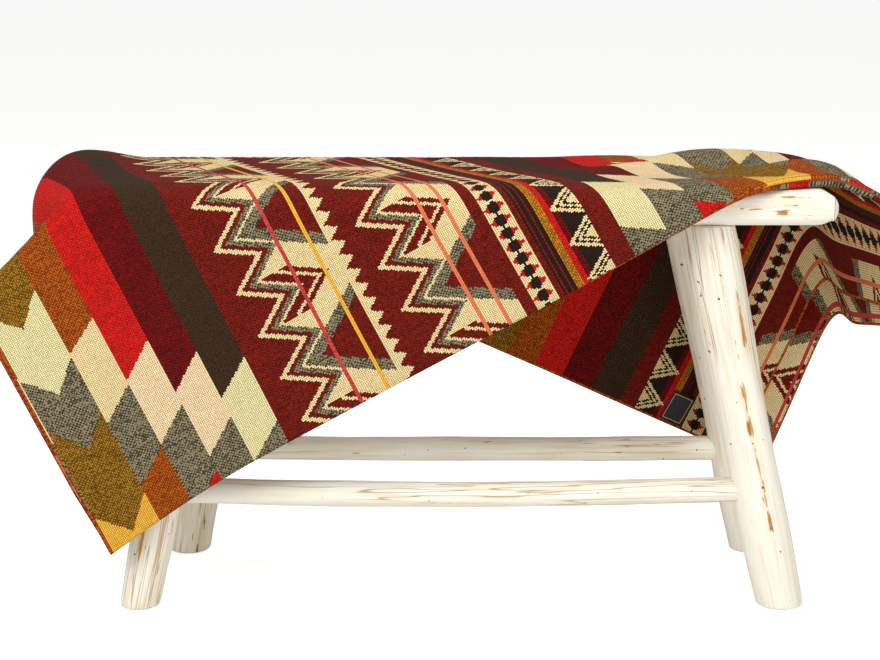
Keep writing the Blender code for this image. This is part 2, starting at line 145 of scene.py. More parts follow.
@dataclass(frozen=True)
class Wire:
    """A number in a node tree, on which ordinary sums build Math nodes.

    Attributes:
        tree: the tree to build in.
        socket: what gives the number, or the number itself.
    """

    tree: bpy.types.NodeTree
    socket: bpy.types.NodeSocket | float

    def _join(self, operation: str, *others: Wire | float) -> Wire:
        """Builds one Math node.

        Args:
            operation: the node's operation.
            others: its further inputs.

        Returns:
            The node's output.
        """
        node = self.tree.nodes.new("ShaderNodeMath")
        node.operation = operation
        for slot, value in enumerate((self, *others)):
            source = value.socket if isinstance(value, Wire) else value
            if isinstance(source, (int, float)):
                node.inputs[slot].default_value = float(source)
            else:
                self.tree.links.new(source, node.inputs[slot])
        return Wire(self.tree, node.outputs[0])

    def __add__(self, other: Wire | float) -> Wire:
        """Sum."""
        return self._join("ADD", other)

    def __sub__(self, other: Wire | float) -> Wire:
        """Difference."""
        return self._join("SUBTRACT", other)

    def __mul__(self, other: Wire | float) -> Wire:
        """Product, and for masks, both at once."""
        return self._join("MULTIPLY", other)

    def __truediv__(self, other: Wire | float) -> Wire:
        """Quotient."""
        return self._join("DIVIDE", other)

    def __lt__(self, other: Wire | float) -> Wire:
        """1 where this is less than the other."""
        return self._join("LESS_THAN", other)

    def __gt__(self, other: Wire | float) -> Wire:
        """1 where this is more than the other."""
        return self._join("GREATER_THAN", other)

    def least(self, other: Wire | float) -> Wire:
        """The smaller of the two."""
        return self._join("MINIMUM", other)

    def most(self, other: Wire | float) -> Wire:
        """The larger of the two."""
        return self._join("MAXIMUM", other)

    def size(self) -> Wire:
        """Without its sign."""
        return self._join("ABSOLUTE")

    def whole(self) -> Wire:
        """Rounded down."""
        return self._join("FLOOR")

    def part(self) -> Wire:
        """What is past the whole number."""
        return self._join("FRACT")

    def cycle(self, period: float) -> Wire:
        """Its place in a repeat that starts at 0."""
        return (self / period).part() * period

    def from_middle(self, start: float, period: float) -> Wire:
        """Its distance from the nearest of the marks start, start + period and so on."""
        return ((self - start + period / 2).cycle(period) - period / 2).size()

    def within(self, low: float, high: float) -> Wire:
        """1 from low to high."""
        return (self > low) * (self < high)

    def choose(self, mask: Wire, other: Wire | float) -> Wire:
        """This where the mask is 0, and the other where it is 1."""
        inverse = Wire(self.tree, 1.0) - mask
        return self * inverse + mask * other


def new_group(name: str, inputs: dict[str, str], outputs: dict[str, str]) -> bpy.types.NodeTree:
    """Starts a shader node group.

    Args:
        name: the group's name.
        inputs: socket type by socket name.
        outputs: socket type by socket name.

    Returns:
        The group, with its input and output nodes in it.
    """
    group = bpy.data.node_groups.new(name, "ShaderNodeTree")
    for title, kind in inputs.items():
        group.interface.new_socket(title, in_out="INPUT", socket_type=kind)
    for title, kind in outputs.items():
        group.interface.new_socket(title, in_out="OUTPUT", socket_type=kind)
    group.nodes.new("NodeGroupInput")
    group.nodes.new("NodeGroupOutput")
    return group


def ends(group: bpy.types.NodeTree) -> tuple[bpy.types.Node, bpy.types.Node]:
    """Returns a group's input node and output node."""
    return group.nodes["Group Input"], group.nodes["Group Output"]


@dataclass(frozen=True)
class Column:
    """One plain column of the blanket and the levels of its arrow-shaped ends.

    Attributes:
        far: where the column ends, measured from the middle of the olive column.
        yarn: its colour away from the ends.
        grey_from: level at which the grey piece starts, at the column's near side.
        cream_from: level at which the cream piece starts.
        cream_to: level at which the cream piece ends.
        cream: the colour of the cream piece.
        slope: how steeply the levels rise across the column.
    """

    far: float
    yarn: Weave
    grey_from: float
    cream_from: float
    cream_to: float
    cream: Weave
    slope: float


COLUMNS = (
    Column(0.0335, Weave.OLIVE, 0.1175, 0.1826, 0.2648, Weave.GREEN_CREAM, 1.00),
    Column(0.0778, Weave.ORANGE, 0.0535, 0.1344, 0.2184, Weave.CREAM, 0.66),
    Column(0.1206, Weave.RED, -0.0020, 0.0843, 0.1670, Weave.PINK_CREAM, 0.66),
    Column(0.1650, Weave.CRIMSON, -0.0400, 0.0439, 0.1276, Weave.PINK_CREAM, 0.66),
    Column(0.2110, Weave.BROWN, -0.0700, 0.0140, 0.0960, Weave.GREEN_CREAM, 0.62),
)


@dataclass(frozen=True)
class Bands:
    """Where the blanket's bands lie, in metres from its first corner, and their repeats.

    What a motif or a row of triangles is made of is measured from its tips, along the blanket.

    Attributes:
        stitch: width of a stitch.
        row: height of a stitch.
        olive_middle: middle of the first olive column.
        mirror: middle of the second olive column, about which the pattern is mirrored.
        far_scale: how much narrower the columns beside the second olive column are.
        column_overlap: how far a column reaches into the next, so that no stitch falls between them.
        yellow_to: level at which the olive column's yellow middle ends.
        repeat: height of one repeat of a motif.
        phase: level of the first repeat's middle.
        slant: how steep the stepped slants are.
        first_motif: where the first motif's tips lie.
        first_edge: the straight line where it ends.
        second_motif: where the second motif's tips lie.
        second_edge: the straight line where it ends.
        rim_field: the field-coloured part of a motif's zigzag rim.
        rim_grey: the grey part of the rim.
        rim_to: where the rim ends and a grey arrow starts.
        strokes: the two slanting strokes inside a motif.
        stroke_reach: how far the strokes reach past their third of the repeat.
        arrow_to: where the grey arrow ends.
        teeth_width: width of the row of small steps on the first motif's far side.
        teeth_reach: how far their tips reach.
        teeth_overlap: how far they start inside the motif.
        diamonds: the band with the row of diamonds.
        diamond_pitch: distance from diamond to diamond.
        diamond_rise: half height of a diamond.
        red_half: half width of the red diamond behind.
        dark_half: half width of the dark diamond before its tips are cut.
        dark_cut: where its tips are cut.
        dark_stripes: middle and half width of the thin dark stripes.
        plain_stripes: the plain stripes beside them.
        triangles: the band with the row of triangles.
        triangle_tips: where their tips would lie.
        triangle_pitch: distance from triangle to triangle.
        triangle_phase: level of the first one's middle.
        triangle_steps: what the triangles are nested of.
        lines: middles of the thin bright lines over the motifs.
        line_half: their half width.
    """

    stitch: float = 0.0023
    row: float = 0.0020
    olive_middle: float = 0.0380
    mirror: float = 0.8950
    far_scale: float = 0.955
    column_overlap: float = 0.00001
    yellow_to: float = 0.0123
    repeat: float = 0.1612
    phase: float = 0.0820
    slant: float = 1.62
    first_motif: float = 0.2725
    first_edge: float = 0.3975
    second_motif: float = 0.4335
    second_edge: float = 0.5565
    rim_field: Span = (0.0090, 0.0178)
    rim_grey: Span = (0.0178, 0.0285)
    rim_to: float = 0.0338
    strokes: tuple[Span, Span] = ((0.034, 0.052), (0.0585, 0.0690))
    stroke_reach: float = 0.001
    arrow_to: float = 0.0575
    teeth_width: float = 0.030
    teeth_reach: float = 0.0195
    teeth_overlap: float = 0.0001
    diamonds: Span = (0.5695, 0.5975)
    diamond_pitch: float = 0.01612
    diamond_rise: float = 0.0076
    red_half: float = 0.0135
    dark_half: float = 0.0150
    dark_cut: float = 0.0062
    dark_stripes: tuple[Span, ...] = ((0.6060, 0.0012), (0.6112, 0.0023), (0.6165, 0.0012), (0.6200, 0.0012))
    plain_stripes: tuple[tuple[float, float, Weave], ...] = (
        (0.6215, 0.6310, Weave.OCHRE), (0.6310, 0.6375, Weave.RED), (0.6375, 0.6440, Weave.CRIMSON))
    triangles: Span = (0.6440, 0.6695)
    triangle_tips: float = 0.6355
    triangle_pitch: float = 0.0435
    triangle_phase: float = 0.0525
    triangle_steps: tuple[tuple[float, Weave], ...] = (
        (0.0, Weave.CREAM), (0.0072, Weave.BLACK), (0.0115, Weave.CREAM), (0.0158, Weave.BLACK), (0.0202, Weave.CREAM))
    lines: tuple[tuple[float, Weave], ...] = (
        (0.3460, Weave.CRIMSON_LINE), (0.3785, Weave.YELLOW_LINE),
        (0.5110, Weave.ORANGE_LINE), (0.5365, Weave.ORANGE_LINE))
    line_half: float = 0.0023


class KnitPattern:
    """The blanket's geometric bands, drawn stitch by stitch.

    In its methods, along is the distance along the blanket, mirrored at its second olive column, and level is the
    distance from its middle line.
    """

    def __init__(self, bands: Bands) -> None:
        """Keeps the band sizes."""
        self.bands = bands

    def columns(self, along: Wire, level: Wire) -> Wire:
        """The plain columns with their arrow-shaped ends.

        Args:
            along: distance along the blanket.
            level: distance from its middle line.

        Returns:
            The palette place of each stitch.
        """
        b = self.bands
        near = (along - b.olive_middle).size()
        far = (along * -1.0 + b.mirror) / b.far_scale
        out = near.least(far)
        found = Wire(out.tree, Weave.FIELD)
        start = 0.0
        for column in COLUMNS:
            height = level - (out - start) * column.slope
            own = Wire(out.tree, column.yarn)
            own = own.choose(height.within(column.grey_from, column.cream_from), Weave.GREY)
            own = own.choose(height.within(column.cream_from, column.cream_to), column.cream)
            if start == 0.0:
                own = own.choose(height < b.yellow_to, Weave.YELLOW)
            found = found.choose((out > start) * (out < column.far + b.column_overlap), own)
            start = column.far
        return found

    def motif(self, along: Wire, level: Wire, start: float, edge: float, under: Wire) -> Wire:
        """A stepped zigzag with nested arrows beside it.

        Args:
            along: distance along the blanket.
            level: distance from its middle line.
            start: where the zigzag's tips lie.
            edge: the straight line where the motif ends.
            under: the pattern under it.

        Returns:
            The palette place of each stitch.
        """
        b = self.bands
        tip = level.from_middle(b.phase, b.repeat / 3) * b.slant
        great = level.from_middle(b.phase, b.repeat)
        arrow = along - great * b.slant - start
        depth = along - tip - start
        strokes = depth.within(*b.strokes[0]).most(depth.within(*b.strokes[1]))
        body = Wire(along.tree, Weave.CREAM)
        body = body.choose(strokes * (great > b.repeat / 3 - b.stroke_reach), Weave.FIELD)
        body = body.choose(arrow.within(b.rim_to, b.arrow_to), Weave.GREY)
        body = body.choose(arrow > b.arrow_to, Weave.FIELD)
        rim = Wire(along.tree, Weave.CREAM)
        rim = rim.choose(depth.within(*b.rim_field), Weave.FIELD)
        rim = rim.choose(depth.within(*b.rim_grey), Weave.GREY)
        found = body.choose(depth < b.rim_to, rim)
        return under.choose((depth > 0.0) * (along < edge), found)

    def teeth(self, along: Wire, level: Wire, under: Wire) -> Wire:
        """The row of small cream steps on the first motif's far side.

        Args:
            along: distance along the blanket.
            level: distance from its middle line.
            under: the pattern under it.

        Returns:
            The palette place of each stitch.
        """
        b = self.bands
        pitch = b.repeat / 9
        point = level.from_middle(b.phase + pitch / 2, pitch) * b.slant
        inside = along.within(b.first_edge - b.teeth_overlap, b.first_edge + b.teeth_width)
        return under.choose(inside * ((along + point) < b.first_edge + b.teeth_reach), Weave.CREAM)

    def diamonds(self, along: Wire, level: Wire, under: Wire) -> Wire:
        """The cream band with its row of dark diamonds between small red corners.

        Args:
            along: distance along the blanket.
            level: distance from its middle line.
            under: the pattern under it.

        Returns:
            The palette place of each stitch.
        """
        b = self.bands
        low, high = b.diamonds
        out = (along - (low + high) / 2).size()
        up = level.from_middle(b.phase, b.diamond_pitch)
        found = under.choose(along.within(low, high), Weave.CREAM)
        found = found.choose((out / b.red_half + up / b.diamond_rise) < 1.0, Weave.SMALL_RED)
        dark = ((out / b.dark_half + up / b.diamond_rise) < 1.0) * (out < b.dark_cut)
        return found.choose(dark, Weave.BLACK)

    def triangles(self, along: Wire, level: Wire, under: Wire) -> Wire:
        """The dark band with nested cream triangles.

        Args:
            along: distance along the blanket.
            level: distance from its middle line.
            under: the pattern under it.

        Returns:
            The palette place of each stitch.
        """
        b = self.bands
        up = level.from_middle(b.triangle_phase, b.triangle_pitch) * b.slant
        depth = along - up - b.triangle_tips
        found = under.choose(along.within(*b.triangles), Weave.BLACK)
        inside = along < b.triangles[1]
        for start, yarn in b.triangle_steps:
            found = found.choose((depth > start) * inside, yarn)
        return found

    def stripes(self, along: Wire, under: Wire) -> Wire:
        """The narrow plain stripes beside the triangles.

        Args:
            along: distance along the blanket.
            under: the pattern under them.

        Returns:
            The palette place of each stitch.
        """
        found = under
        for middle, half in self.bands.dark_stripes:
            found = found.choose(along.within(middle - half, middle + half), Weave.BLACK)
        for low, high, yarn in self.bands.plain_stripes:
            found = found.choose(along.within(low, high), yarn)
        return found

    def lines(self, along: Wire, under: Wire) -> Wire:
        """The thin bright lines that run down over the motifs.

        Args:
            along: distance along the blanket.
            under: the pattern under them.

        Returns:
            The palette place of each stitch.
        """
        found, half = under, self.bands.line_half
        for middle, yarn in self.bands.lines:
            found = found.choose(along.within(middle - half, middle + half), yarn)
        return found

    def place(self, along: Wire, level: Wire) -> Wire:
        """Draws the whole pattern.

        Args:
            along: distance along the blanket, in metres, not mirrored yet.
            level: distance from its middle line.

        Returns:
            The palette place of each stitch.
        """
        b = self.bands
        along = ((along / b.stitch).whole() + 0.5) * b.stitch
        level = ((level / b.row).whole() + 0.5) * b.row
        along = (along - b.mirror).size() * -1.0 + b.mirror
        found = self.columns(along, level)
        found = self.motif(along, level, b.first_motif, b.first_edge, found)
        found = self.teeth(along, level, found)
        found = self.motif(along, level, b.second_motif, b.second_edge, found)
        found = self.diamonds(along, level, found)
        found = self.stripes(along, found)
        found = self.triangles(along, level, found)
        return self.lines(along, found)


def palette_ramp(tree: bpy.types.NodeTree, place: Wire, colour_of: Callable[[Yarn], Rgba]) -> bpy.types.NodeSocket:
    """Looks up each stitch's yarn by its palette place.

    Args:
        tree: the tree to build in.
        place: palette place of each stitch.
        colour_of: what to give for a yarn.

    Returns:
        The colour.
    """
    ramp = tree.nodes.new("ShaderNodeValToRGB")
    ramp.color_ramp.interpolation = "CONSTANT"
    elements = ramp.color_ramp.elements
    count = len(PALETTE)
    elements.remove(elements[1])
    for weave, yarn in PALETTE.items():
        element = elements[0] if weave == 0 else elements.new(weave / count)
        element.color = colour_of(yarn)
    tree.links.new(((place + 0.5) / count).socket, ramp.inputs["Fac"])
    return ramp.outputs["Color"]


def mixed(tree: bpy.types.NodeTree, share: Wire | float, first: Rgba | bpy.types.NodeSocket,
          second: Rgba | bpy.types.NodeSocket) -> bpy.types.NodeSocket:
    """Mixes two colours.

    Args:
        tree: the tree to build in.
        share: how much of the second colour shows.
        first: a colour or a socket.
        second: a colour or a socket.

    Returns:
        The mixed colour.
    """
    node = tree.nodes.new("ShaderNodeMix")
    node.data_type = "RGBA"
    colours = [item for item in node.inputs if item.type == "RGBA"]
    factor = next(item for item in node.inputs if item.type == "VALUE")
    if isinstance(share, Wire):
        tree.links.new(share.socket, factor)
    else:
        factor.default_value = share
    for source, socket in ((first, colours[0]), (second, colours[1])):
        if isinstance(source, bpy.types.NodeSocket):
            tree.links.new(source, socket)
        else:
            socket.default_value = source
    return next(item for item in node.outputs if item.type == "RGBA")


def noise_of(tree: bpy.types.NodeTree, vector: bpy.types.NodeSocket, scale: Triple, detail: float = 2.0,
             offset: float = 0.0) -> Wire:
    """A noise, stretched as it is scaled.

    Args:
        tree: the tree to build in.
        vector: where to read it.
        scale: how many features a metre, each way.
        detail: how many finer layers it has.
        offset: moves the noise, so that two of them differ.

    Returns:
        A value about a half.
    """
    mapping = tree.nodes.new("ShaderNodeMapping")
    mapping.inputs["Scale"].default_value = scale
    mapping.inputs["Location"].default_value = (offset, offset * 0.7, offset * 1.3)
    texture = tree.nodes.new("ShaderNodeTexNoise")
    texture.inputs["Scale"].default_value = 1.0
    texture.inputs["Detail"].default_value = detail
    tree.links.new(vector, mapping.inputs["Vector"])
    tree.links.new(mapping.outputs["Vector"], texture.inputs["Vector"])
    return Wire(tree, texture.outputs["Fac"])


def eased(value: Wire, low: float, high: float) -> Wire:
    """Turns a value into a mask with a soft rise.

    Args:
        value: what to turn.
        low: the mask is 0 below this.
        high: the mask is 1 above this.

    Returns:
        The mask.
    """
    node = value.tree.nodes.new("ShaderNodeMapRange")
    node.interpolation_type = "SMOOTHSTEP"
    node.inputs["From Min"].default_value = low
    node.inputs["From Max"].default_value = high
    value.tree.links.new(value.socket, node.inputs["Value"])
    return Wire(value.tree, node.outputs["Result"])


def random_of(tree: bpy.types.NodeTree, first: Wire, second: Wire) -> Wire:
    """Gives each pair of values its own random number.

    Args:
        tree: the tree to build in.
        first: one value.
        second: the other value.

    Returns:
        A number from 0 to 1.
    """
    joined = tree.nodes.new("ShaderNodeCombineXYZ")
    tree.links.new(first.socket, joined.inputs["X"])
    tree.links.new(second.socket, joined.inputs["Y"])
    white = tree.nodes.new("ShaderNodeTexWhiteNoise")
    white.noise_dimensions = "2D"
    tree.links.new(joined.outputs["Vector"], white.inputs["Vector"])
    return Wire(tree, white.outputs["Value"])


def chart_axes(tree: bpy.types.NodeTree, chart_name: str) -> tuple[Wire, Wire]:
    """Reads a piece's UV map.

    Args:
        tree: the material's tree.
        chart_name: the UV map's name.

    Returns:
        Its two directions, in metres.
    """
    chart = tree.nodes.new("ShaderNodeUVMap")
    chart.uv_map = chart_name
    split = tree.nodes.new("ShaderNodeSeparateXYZ")
    tree.links.new(chart.outputs["UV"], split.inputs["Vector"])
    return Wire(tree, split.outputs["X"]), Wire(tree, split.outputs["Y"])


def attribute_of(tree: bpy.types.NodeTree, name: str) -> bpy.types.Node:
    """Reads an attribute of a piece's vertices.

    Args:
        tree: the material's tree.
        name: the attribute's name.

    Returns:
        The node that gives it.
    """
    node = tree.nodes.new("ShaderNodeAttribute")
    node.attribute_name = name
    return node


def placed(tree: bpy.types.NodeTree, group: bpy.types.NodeTree,
           inputs: dict[str, bpy.types.NodeSocket]) -> bpy.types.Node:
    """Places a node group in a material.

    Args:
        tree: the material's tree.
        group: the group.
        inputs: what feeds each of its inputs.

    Returns:
        The group's node.
    """
    node = tree.nodes.new("ShaderNodeGroup")
    node.node_tree = group
    for title, source in inputs.items():
        tree.links.new(source, node.inputs[title])
    return node


def new_material(name: str) -> tuple[bpy.types.Material, bpy.types.NodeTree, bpy.types.Node]:
    """Starts a node material.

    Args:
        name: the material's name.

    Returns:
        The material, its tree and its shader.
    """
    made = bpy.data.materials.new(name)
    made.use_nodes = True
    return made, made.node_tree, made.node_tree.nodes["Principled BSDF"]


def add_bump(tree: bpy.types.NodeTree, height: bpy.types.NodeSocket, distance: float, strength: float) -> None:
    """Feeds a height into the material's normal.

    Args:
        tree: the material's tree.
        height: the height, about 0 to 1.
        distance: what a height of 1 stands for, in metres.
        strength: how strongly it shows.
    """
    bump = tree.nodes.new("ShaderNodeBump")
    bump.inputs["Distance"].default_value = distance
    bump.inputs["Strength"].default_value = strength
    tree.links.new(height, bump.inputs["Height"])
    tree.links.new(bump.outputs["Normal"], tree.nodes["Principled BSDF"].inputs["Normal"])


@dataclass(frozen=True)
class Wool:
    """The knitted alpaca: its relief, heathered yarn, painted shade in the gaps between stitches, and overlocked hem.

    Attributes:
        bands: the pattern's bands and the stitch size.
        rib_depth: depth of the knit's relief.
        relief_strength: how strongly the relief shows.
        stitch_relief: how much one stitch stands higher than another.
        fleck_size: size of the finest flecks.
        fleck_mix: how far flecks follow fine cells, streaks along a row, and every other stitch.
        fleck_rise: where flecks start and where they are whole.
        painted_gap_shade_rise: height at which a gap between stitches starts and where it ends, for the painted shade
            in it.
        painted_gap_shade_depth: how dark the painted shade in a gap is at its deepest.
        painted_gap_shade_share: how far the painted shade's colour goes from the fleck's to painted_gap_shade_colour.
        painted_gap_shade_colour: the colour of the painted shade in the gaps, standing in for the shade between
            stitches.
        hem_width: width of the overlocked hem.
        hem_colour: its thread.
        hem_fleck: the thread's shaded part.
        hem_rise: where the shaded part starts and where it is whole.
        roughness: of the wool.
        specular: how much it shines.
        sheen: its fuzz.
        sheen_roughness: how wide the fuzz spreads light.
    """

    bands: Bands = Bands()
    rib_depth: float = 0.0007
    relief_strength: float = 0.8
    stitch_relief: float = 0.35
    fleck_size: float = 0.00155
    fleck_mix: Triple = (0.52, 0.18, 0.30)
    fleck_rise: Span = (0.42, 0.58)
    # Painted shade in the gaps between stitches: where it starts, how dark it gets, and its colour.
    painted_gap_shade_rise: Span = (0.05, 0.60)
    painted_gap_shade_depth: float = 0.92
    painted_gap_shade_share: float = 0.72
    painted_gap_shade_colour: Rgb = (0.16, 0.10, 0.06)
    hem_width: float = 0.0030
    hem_colour: Rgb = (0.74, 0.34, 0.10)
    hem_fleck: Rgb = (0.50, 0.17, 0.06)
    hem_rise: Span = (0.4, 0.7)
    roughness: float = 0.92
    specular: float = 0.08
    sheen: float = 0.02
    sheen_roughness: float = 0.5

    def _relief(self, along: Wire, level: Wire) -> Wire:
        """The height of the knit: rows of V stitches in fine ribs.

        Args:
            along: distance along the blanket.
            level: distance from its middle line.

        Returns:
            A height from 0 in the gaps to 1 on the stitches.
        """
        across = (along / self.bands.stitch).part() - 0.5
        rib = (across * across) * -4.0 + 1.0
        slanted = (level / self.bands.row + across.size() * 0.6).part() - 0.5
        loop = (slanted * slanted) * -4.0 + 1.0
        return rib * loop

    def _mottle(self, along: Wire, level: Wire) -> Wire:
        """How the flecks of the heathered yarn are spread.

        Args:
            along: distance along the blanket.
            level: distance from its middle line.

        Returns:
            A value about a half.
        """
        column = (along / self.bands.stitch).whole()
        row = (level / self.bands.row).whole()
        fine = random_of(along.tree, (along / self.fleck_size).whole(), (level / self.fleck_size).whole() + 0.61)
        streak = random_of(along.tree, (column / 7.0).whole(), row + 0.37)
        checks = (column + row).cycle(2.0)
        fine_share, streak_share, check_share = self.fleck_mix
        return fine * fine_share + streak * streak_share + checks * check_share

    def group(self) -> bpy.types.NodeTree:
        """Builds the knit group, from a place in the pattern and the distance from the hem to colour and height.

        Returns:
            The group, which both sides of the cloth use.
        """
        tree = new_group(
            "alpaca_knit", {"Along": "NodeSocketFloat", "Level": "NodeSocketFloat", "Hem": "NodeSocketFloat"},
            {"Color": "NodeSocketColor", "Height": "NodeSocketFloat"},
        )
        inlet, outlet = ends(tree)
        along, level, hem = (Wire(tree, inlet.outputs[title]) for title in ("Along", "Level", "Hem"))
        place = KnitPattern(self.bands).place(along, level)
        share = Wire(tree, palette_ramp(tree, place, lambda yarn: (yarn.share, yarn.share, yarn.share, 1.0)))
        flecks = palette_ramp(tree, place, lambda yarn: linear(yarn.fleck))
        plain = palette_ramp(tree, place, lambda yarn: linear(yarn.main))
        colour = mixed(tree, eased(self._mottle(along, level), *self.fleck_rise) * share, plain, flecks)
        height = self._relief(along, level)
        # Painted shade: the colour is darkened towards a dark brown where the knit's relief is low, standing in for
        # the shade in the gaps between stitches.
        gap = eased(height, *self.painted_gap_shade_rise) * -self.painted_gap_shade_depth + self.painted_gap_shade_depth
        colour = mixed(tree, gap, colour, mixed(tree, self.painted_gap_shade_share, flecks, linear(self.painted_gap_shade_colour)))
        speck = random_of(tree, (along / self.bands.stitch).whole(), (level / self.bands.row).whole())
        thread = mixed(tree, eased(speck, *self.hem_rise), linear(self.hem_colour), linear(self.hem_fleck))
        colour = mixed(tree, hem < self.hem_width, colour, thread)
        tree.links.new(colour, outlet.inputs["Color"])
        tree.links.new((height + speck * self.stitch_relief).socket, outlet.inputs["Height"])
        return tree

    def material(self, name: str, chart_name: str, knit: bpy.types.NodeTree) -> bpy.types.Material:
        """Builds the material of one side.

        Args:
            name: the material's name.
            chart_name: the UV map that says where the side lies in the pattern.
            knit: the knit group.

        Returns:
            The material.
        """
        made, tree, shader = new_material(name)
        along, level = chart_axes(tree, chart_name)
        hem = attribute_of(tree, "hem").outputs["Fac"]
        cloth = placed(tree, knit, {"Along": along.socket, "Level": level.socket, "Hem": hem})
        tree.links.new(cloth.outputs["Color"], shader.inputs["Base Color"])
        shader.inputs["Roughness"].default_value = self.roughness
        shader.inputs["Specular IOR Level"].default_value = self.specular
        shader.inputs["Sheen Weight"].default_value = self.sheen
        shader.inputs["Sheen Roughness"].default_value = self.sheen_roughness
        add_bump(tree, cloth.outputs["Height"], self.rib_depth, self.relief_strength)
        return made


@dataclass(frozen=True)
class Badge:
    """The bare woven label: near-black with a thin gold border.

    Attributes:
        ground: its colour.
        border: the border's colour.
        size: across and down.
        inset: from the label's edge to the border.
        line: width of the border.
        roughness: of the label.
        twill_pitch: from one twill line to the next.
        twill_depth: depth of the twill.
    """

    ground: Rgb = (0.045, 0.048, 0.06)
    border: Rgb = (0.80, 0.66, 0.34)
    size: Span = (0.032, 0.039)
    inset: float = 0.0028
    line: float = 0.0008
    roughness: float = 0.55
    twill_pitch: float = 0.0006
    twill_depth: float = 0.0001

    def material(self) -> bpy.types.Material:
        """Builds the material.

        Returns:
            The material, which reads the label's own UV map.
        """
        made, tree, shader = new_material("woven_label_cloth")
        x, y = chart_axes(tree, "cloth")
        near_x = (x - self.size[0] / 2).size() * -1.0 + self.size[0] / 2
        near_y = (y - self.size[1] / 2).size() * -1.0 + self.size[1] / 2
        line = near_x.least(near_y).within(self.inset, self.inset + self.line)
        tree.links.new(mixed(tree, line, linear(self.ground), linear(self.border)), shader.inputs["Base Color"])
        shader.inputs["Roughness"].default_value = self.roughness
        twill = ((x * 0.8 + y) / self.twill_pitch).part()
        add_bump(tree, twill.socket, self.twill_depth, 0.5)
        return made


@dataclass(frozen=True)
class WornPaint:
    """White wash on a softwood pole, worn through to ochre wood in streaks.

    Attributes:
        paint: the wash where it is thick.
        thin_paint: the wash where the wood shows through it.
        wood: bare wood.
        dark_wood: its darker fibres.
        stain: hairline cracks.
        hole: small specks.
        fibre_scale: fibres a metre, along and across the pole, as all scales here.
        patch_scale: patches of thin wash.
        broad_scale: broad drifts of tone.
        chip_scale: chips at the rims of worn places.
        crack_scale: hairline cracks.
        speck_scale: specks.
        relief: depth of the surface.
        relief_strength: how strongly it shows.
    """

    paint: Rgb = (0.93, 0.91, 0.855)
    thin_paint: Rgb = (0.87, 0.815, 0.69)
    wood: Rgb = (0.84, 0.63, 0.32)
    dark_wood: Rgb = (0.62, 0.40, 0.17)
    stain: Rgb = (0.72, 0.52, 0.27)
    hole: Rgb = (0.40, 0.32, 0.24)
    fibre_scale: Triple = (9.0, 260.0, 260.0)
    patch_scale: Triple = (7.0, 34.0, 34.0)
    broad_scale: Triple = (2.2, 9.0, 9.0)
    chip_scale: Triple = (30.0, 210.0, 210.0)
    crack_scale: Triple = (3.0, 95.0, 95.0)
    speck_scale: Triple = (130.0, 130.0, 130.0)
    relief: float = 0.0012
    relief_strength: float = 0.9

    def group(self) -> bpy.types.NodeTree:
        """Builds the worn paint group, from grain place and wear to colour, roughness and height.

        Returns:
            The group.
        """
        made = new_group(
            "worn_paint", {"Grain": "NodeSocketVector", "Wear": "NodeSocketFloat"},
            {"Color": "NodeSocketColor", "Roughness": "NodeSocketFloat", "Height": "NodeSocketFloat"},
        )
        inlet, outlet = ends(made)
        grain = inlet.outputs["Grain"]
        wear = Wire(made, inlet.outputs["Wear"])
        fibres = noise_of(made, grain, self.fibre_scale, 3.0)
        patches = noise_of(made, grain, self.patch_scale, 4.0, 3.1)
        broad = noise_of(made, grain, self.broad_scale, 2.0, 7.7)
        chips = noise_of(made, grain, self.chip_scale, 3.0, 5.3)
        cracks = noise_of(made, grain, self.crack_scale, 2.0, 11.0)
        specks = eased(noise_of(made, grain, self.speck_scale, 1.0, 2.2), 0.765, 0.79)
        bare = eased(wear * 0.62 + (patches - 0.5) * 1.1 + (chips - 0.5) * 1.5, 0.46, 0.54)
        hairline = eased((cracks - 0.5).size() * -1.0 + 0.5, 0.484, 0.497) * eased(broad, 0.47, 0.54)
        thin = eased(fibres * 0.45 + patches * 0.30 + broad * 0.25 + wear * 0.12, 0.46, 0.66)
        paint = mixed(made, thin, linear(self.paint), linear(self.thin_paint))
        wood = mixed(made, eased(fibres * 0.7 + patches * 0.3, 0.40, 0.62), linear(self.wood), linear(self.dark_wood))
        colour = mixed(made, bare, paint, wood)
        colour = mixed(made, hairline * 0.75, colour, linear(self.stain))
        colour = mixed(made, specks, colour, linear(self.hole))
        made.links.new(colour, outlet.inputs["Color"])
        made.links.new((bare * -0.15 + 0.80).socket, outlet.inputs["Roughness"])
        height = fibres * 0.35 + broad * 0.3 - bare * 0.30 - hairline * 0.5 - specks * 0.8 + patches * 0.2
        made.links.new(height.socket, outlet.inputs["Height"])
        return made

    def material(self, group: bpy.types.NodeTree) -> bpy.types.Material:
        """Builds the material.

        Args:
            group: the worn paint group.

        Returns:
            The material, which reads a piece's grain and wear attributes.
        """
        made, tree, shader = new_material("worn_white_wash")
        grain = attribute_of(tree, "grain").outputs["Vector"]
        wear = attribute_of(tree, "wear").outputs["Fac"]
        wash = placed(tree, group, {"Grain": grain, "Wear": wear})
        tree.links.new(wash.outputs["Color"], shader.inputs["Base Color"])
        tree.links.new(wash.outputs["Roughness"], shader.inputs["Roughness"])
        add_bump(tree, wash.outputs["Height"], self.relief, self.relief_strength)
        return made


